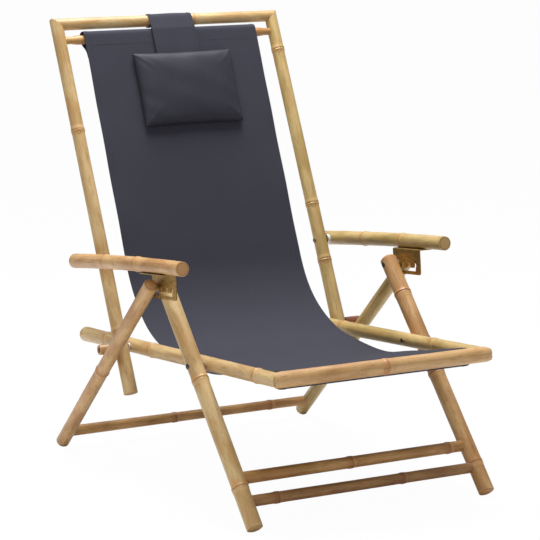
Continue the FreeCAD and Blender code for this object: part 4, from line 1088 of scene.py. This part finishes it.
def pillow_blank():
    """A flat sewn blank, rounded off towards its edge, and the points of its seam."""
    half_wide, half_long = (PILLOW_RIGHT - PILLOW_LEFT) / 2, PILLOW_LONG / 2
    verts = []
    for bank, deep in ((1.0, 0.0055), (-1.0, 0.0022)):
        for row in range(ROWS + 1):
            v = 2 * row / ROWS - 1
            for column in range(COLUMNS + 1):
                u = 2 * column / COLUMNS - 1
                draw_u = 1 - 0.020 * (1 - v * v) * u * u
                draw_v = 1 - 0.024 * (1 - u * u) * v * v
                full = max(0.0, (1 - u ** 4) * (1 - v ** 4)) ** 0.55
                verts.append(Vector((u * half_wide * draw_u * SEWN_IN,
                                     v * half_long * draw_v * SEWN_IN,
                                     bank * (GAP + deep * full))))
    faces, rim = sheet_faces(COLUMNS + 1, ROWS + 1, flipped=True)
    mesh = bpy.data.meshes.new("head_pillow")
    mesh.from_pydata(verts, [], faces)
    mesh.update()
    return mesh, [a + bank * (len(verts) // 2) for a, _ in rim for bank in (0, 1)]


def stuffed(mesh, seam):
    """Blow the blank up with the sewn seam held, and keep the shape it takes."""
    piece = placed("pillow_work", mesh)
    piece.vertex_groups.new(name="seam").add(seam, 1.0, "REPLACE")
    cloth = piece.modifiers.new("Stuffing", "CLOTH")
    for key, value in {"use_pressure": True, "uniform_pressure_force": PRESSURE,
                       "tension_stiffness": 18.0, "compression_stiffness": 9.0,
                       "bending_stiffness": 0.6, "mass": 0.25, "quality": 6,
                       "vertex_group_mass": "seam", "pin_stiffness": 1.0}.items():
        setattr(cloth.settings, key, value)
    cloth.settings.effector_weights.gravity = 0.0
    cloth.point_cache.frame_start = 1
    cloth.point_cache.frame_end = FRAMES
    for number in range(1, FRAMES + 1):
        bpy.context.scene.frame_set(number)
    shot = piece.evaluated_get(bpy.context.evaluated_depsgraph_get())
    blown = bpy.data.meshes.new_from_object(shot)
    bpy.data.objects.remove(piece)
    bpy.context.scene.frame_set(1)
    return blown


blank, seam = pillow_blank()
rest_spots = np.array([v.co for v in blank.vertices])
spots = rest_spots.copy()
blown = stuffed(blank.copy(), seam)
moved = np.array([v.co for v in blown.vertices]) - rest_spots
far = np.linalg.norm(moved, axis=1)
spots += moved * (np.minimum(far, FARTHEST) / np.maximum(far, 1e-9))[:, None]
height = spots[:, 2]
spots[:, 2] = np.where(height > 0, PILLOW_CROWN * (np.abs(height) / height.max()) ** FILL_OUT,
                       height * PILLOW_BACK / -height.min())
u, v = [spots[:, axis] / abs(spots[:, axis]).max() for axis in (0, 1)]
rumple = (np.sin(u * 7.0 + v * 3.0) * np.sin(v * 5.0 - u * 2.0) * 0.0006
          + np.sin((u + v) * 13.0) * 0.00025 * (np.abs(u) ** 3 + np.abs(v) ** 3))
spots[:, 2] += np.where(spots[:, 2] > 0.004, rumple, 0.0)
upper, centre, lower = [back_point(down, sheet_front(down)) for down in (
    PILLOW_TOP, PILLOW_TOP + PILLOW_LONG / 2, PILLOW_TOP + PILLOW_LONG)]
slope = (lower - upper).normalized()
outward = side_point(slope.z, -slope.y)
centre += outward * (PILLOW_BACK + PILLOW_CLEAR) + ACROSS * (PILLOW_LEFT + PILLOW_RIGHT) / 2
turn = Matrix((ACROSS, -slope, outward)).transposed().to_4x4()
for vertex, spot in zip(blank.vertices, spots):
    vertex.co = spot
weave = blank.attributes.new("weave", "FLOAT_VECTOR", "POINT")
weave.data.foreach_set("vector", rest_spots.astype(np.float32).ravel())
blank.transform(Matrix.Translation(centre) @ turn)
pillow = dressed("head_pillow", blank, canvas("Pillow cloth", (52, 52, 61), (47, 47, 55), 0.42),
                 "back", "pillow_cloth", "pillow")
finer = pillow.modifiers.new("Finer", "SUBSURF")
finer.levels = 1
finer.render_levels = 1
smooth(blank, 75.0)


# The studio: a white floor that keeps a soft shadow, a white surround, broad soft lamps, and
# the camera at the photograph's angle.

WHITE = (1.0, 1.0, 1.0, 1.0)


def floor_material():
    board = new_material("White floor")
    seen = board.put("ShaderNodeLightPath", out="Is Camera Ray")
    matt = board.put("ShaderNodeBsdfDiffuse", None, {"Color": colour(236, 236, 236)})
    glow = board.put("ShaderNodeEmission", None, {"Color": WHITE, "Strength": 1.0})
    mixed = board.put("ShaderNodeMixShader", None, {0: seen * 0.975, 1: matt, 2: glow})
    board.put("ShaderNodeOutputMaterial", None, {"Surface": mixed})
    return board.owner


def soft_lamp(name, place, target, size, power):
    data = bpy.data.lights.new(name, "AREA")
    data.shape = "SQUARE"
    data.size = size
    data.energy = power
    lamp = placed(name, data)
    lamp.location = place
    lamp.rotation_mode = "QUATERNION"
    lamp.rotation_quaternion = (Vector(target) - Vector(place)).to_track_quat("-Z", "Y")


floor_mesh = bpy.data.meshes.new("floor")
floor_mesh.from_pydata([(-30, -30, 0), (30, -30, 0), (30, 30, 0), (-30, 30, 0)], [], [(0, 1, 2, 3)])
floor_mesh.materials.append(floor_material())
floor = placed("floor", floor_mesh)

world = bpy.data.worlds.new("White surround")
bpy.context.scene.world = world
world.use_nodes = True
world.node_tree.nodes.clear()
board = Board(world.node_tree)
seen = board.put("ShaderNodeLightPath", out="Is Camera Ray")
soft = board.put("ShaderNodeBackground", None, {"Color": WHITE, "Strength": 0.33})
white = board.put("ShaderNodeBackground", None, {"Color": WHITE, "Strength": 1.0})
mixed = board.put("ShaderNodeMixShader", None, {0: seen, 1: soft, 2: white})
board.put("ShaderNodeOutputWorld", None, {"Surface": mixed})

soft_lamp("overhead", (0.1, 0.45, 3.0), (0.0, -0.05, 0.3), 1.6, 122.0)
soft_lamp("front_left", (-2.8, -2.2, 1.9), (0.0, 0.0, 0.4), 1.6, 17.0)

PICTURE = 540.0
camera_data = bpy.data.cameras.new("camera")
camera_data.lens = 154.7
camera_data.sensor_width = 36.0
camera_data.shift_x = (PICTURE / 2 - 267.8) / PICTURE
camera_data.shift_y = (274.5 - PICTURE / 2) / PICTURE
camera_data.clip_end = 100.0
camera = placed("camera", camera_data)
azimuth, elevation, roll = math.radians(-28.37), math.radians(9.78), math.radians(-0.56)
back = Vector((math.sin(azimuth) * math.cos(elevation), -math.cos(azimuth) * math.cos(elevation),
               math.sin(elevation)))
camera.location = Vector((-0.0697, -0.1298, 0.4186)) + back * 4.447
camera.rotation_mode = "QUATERNION"
facing = (-back).to_track_quat("-Z", "Y")
camera.rotation_quaternion = facing @ Matrix.Rotation(roll, 3, "Z").to_quaternion()
bpy.context.scene.camera = camera
bpy.context.scene.view_settings.view_transform = "Standard"
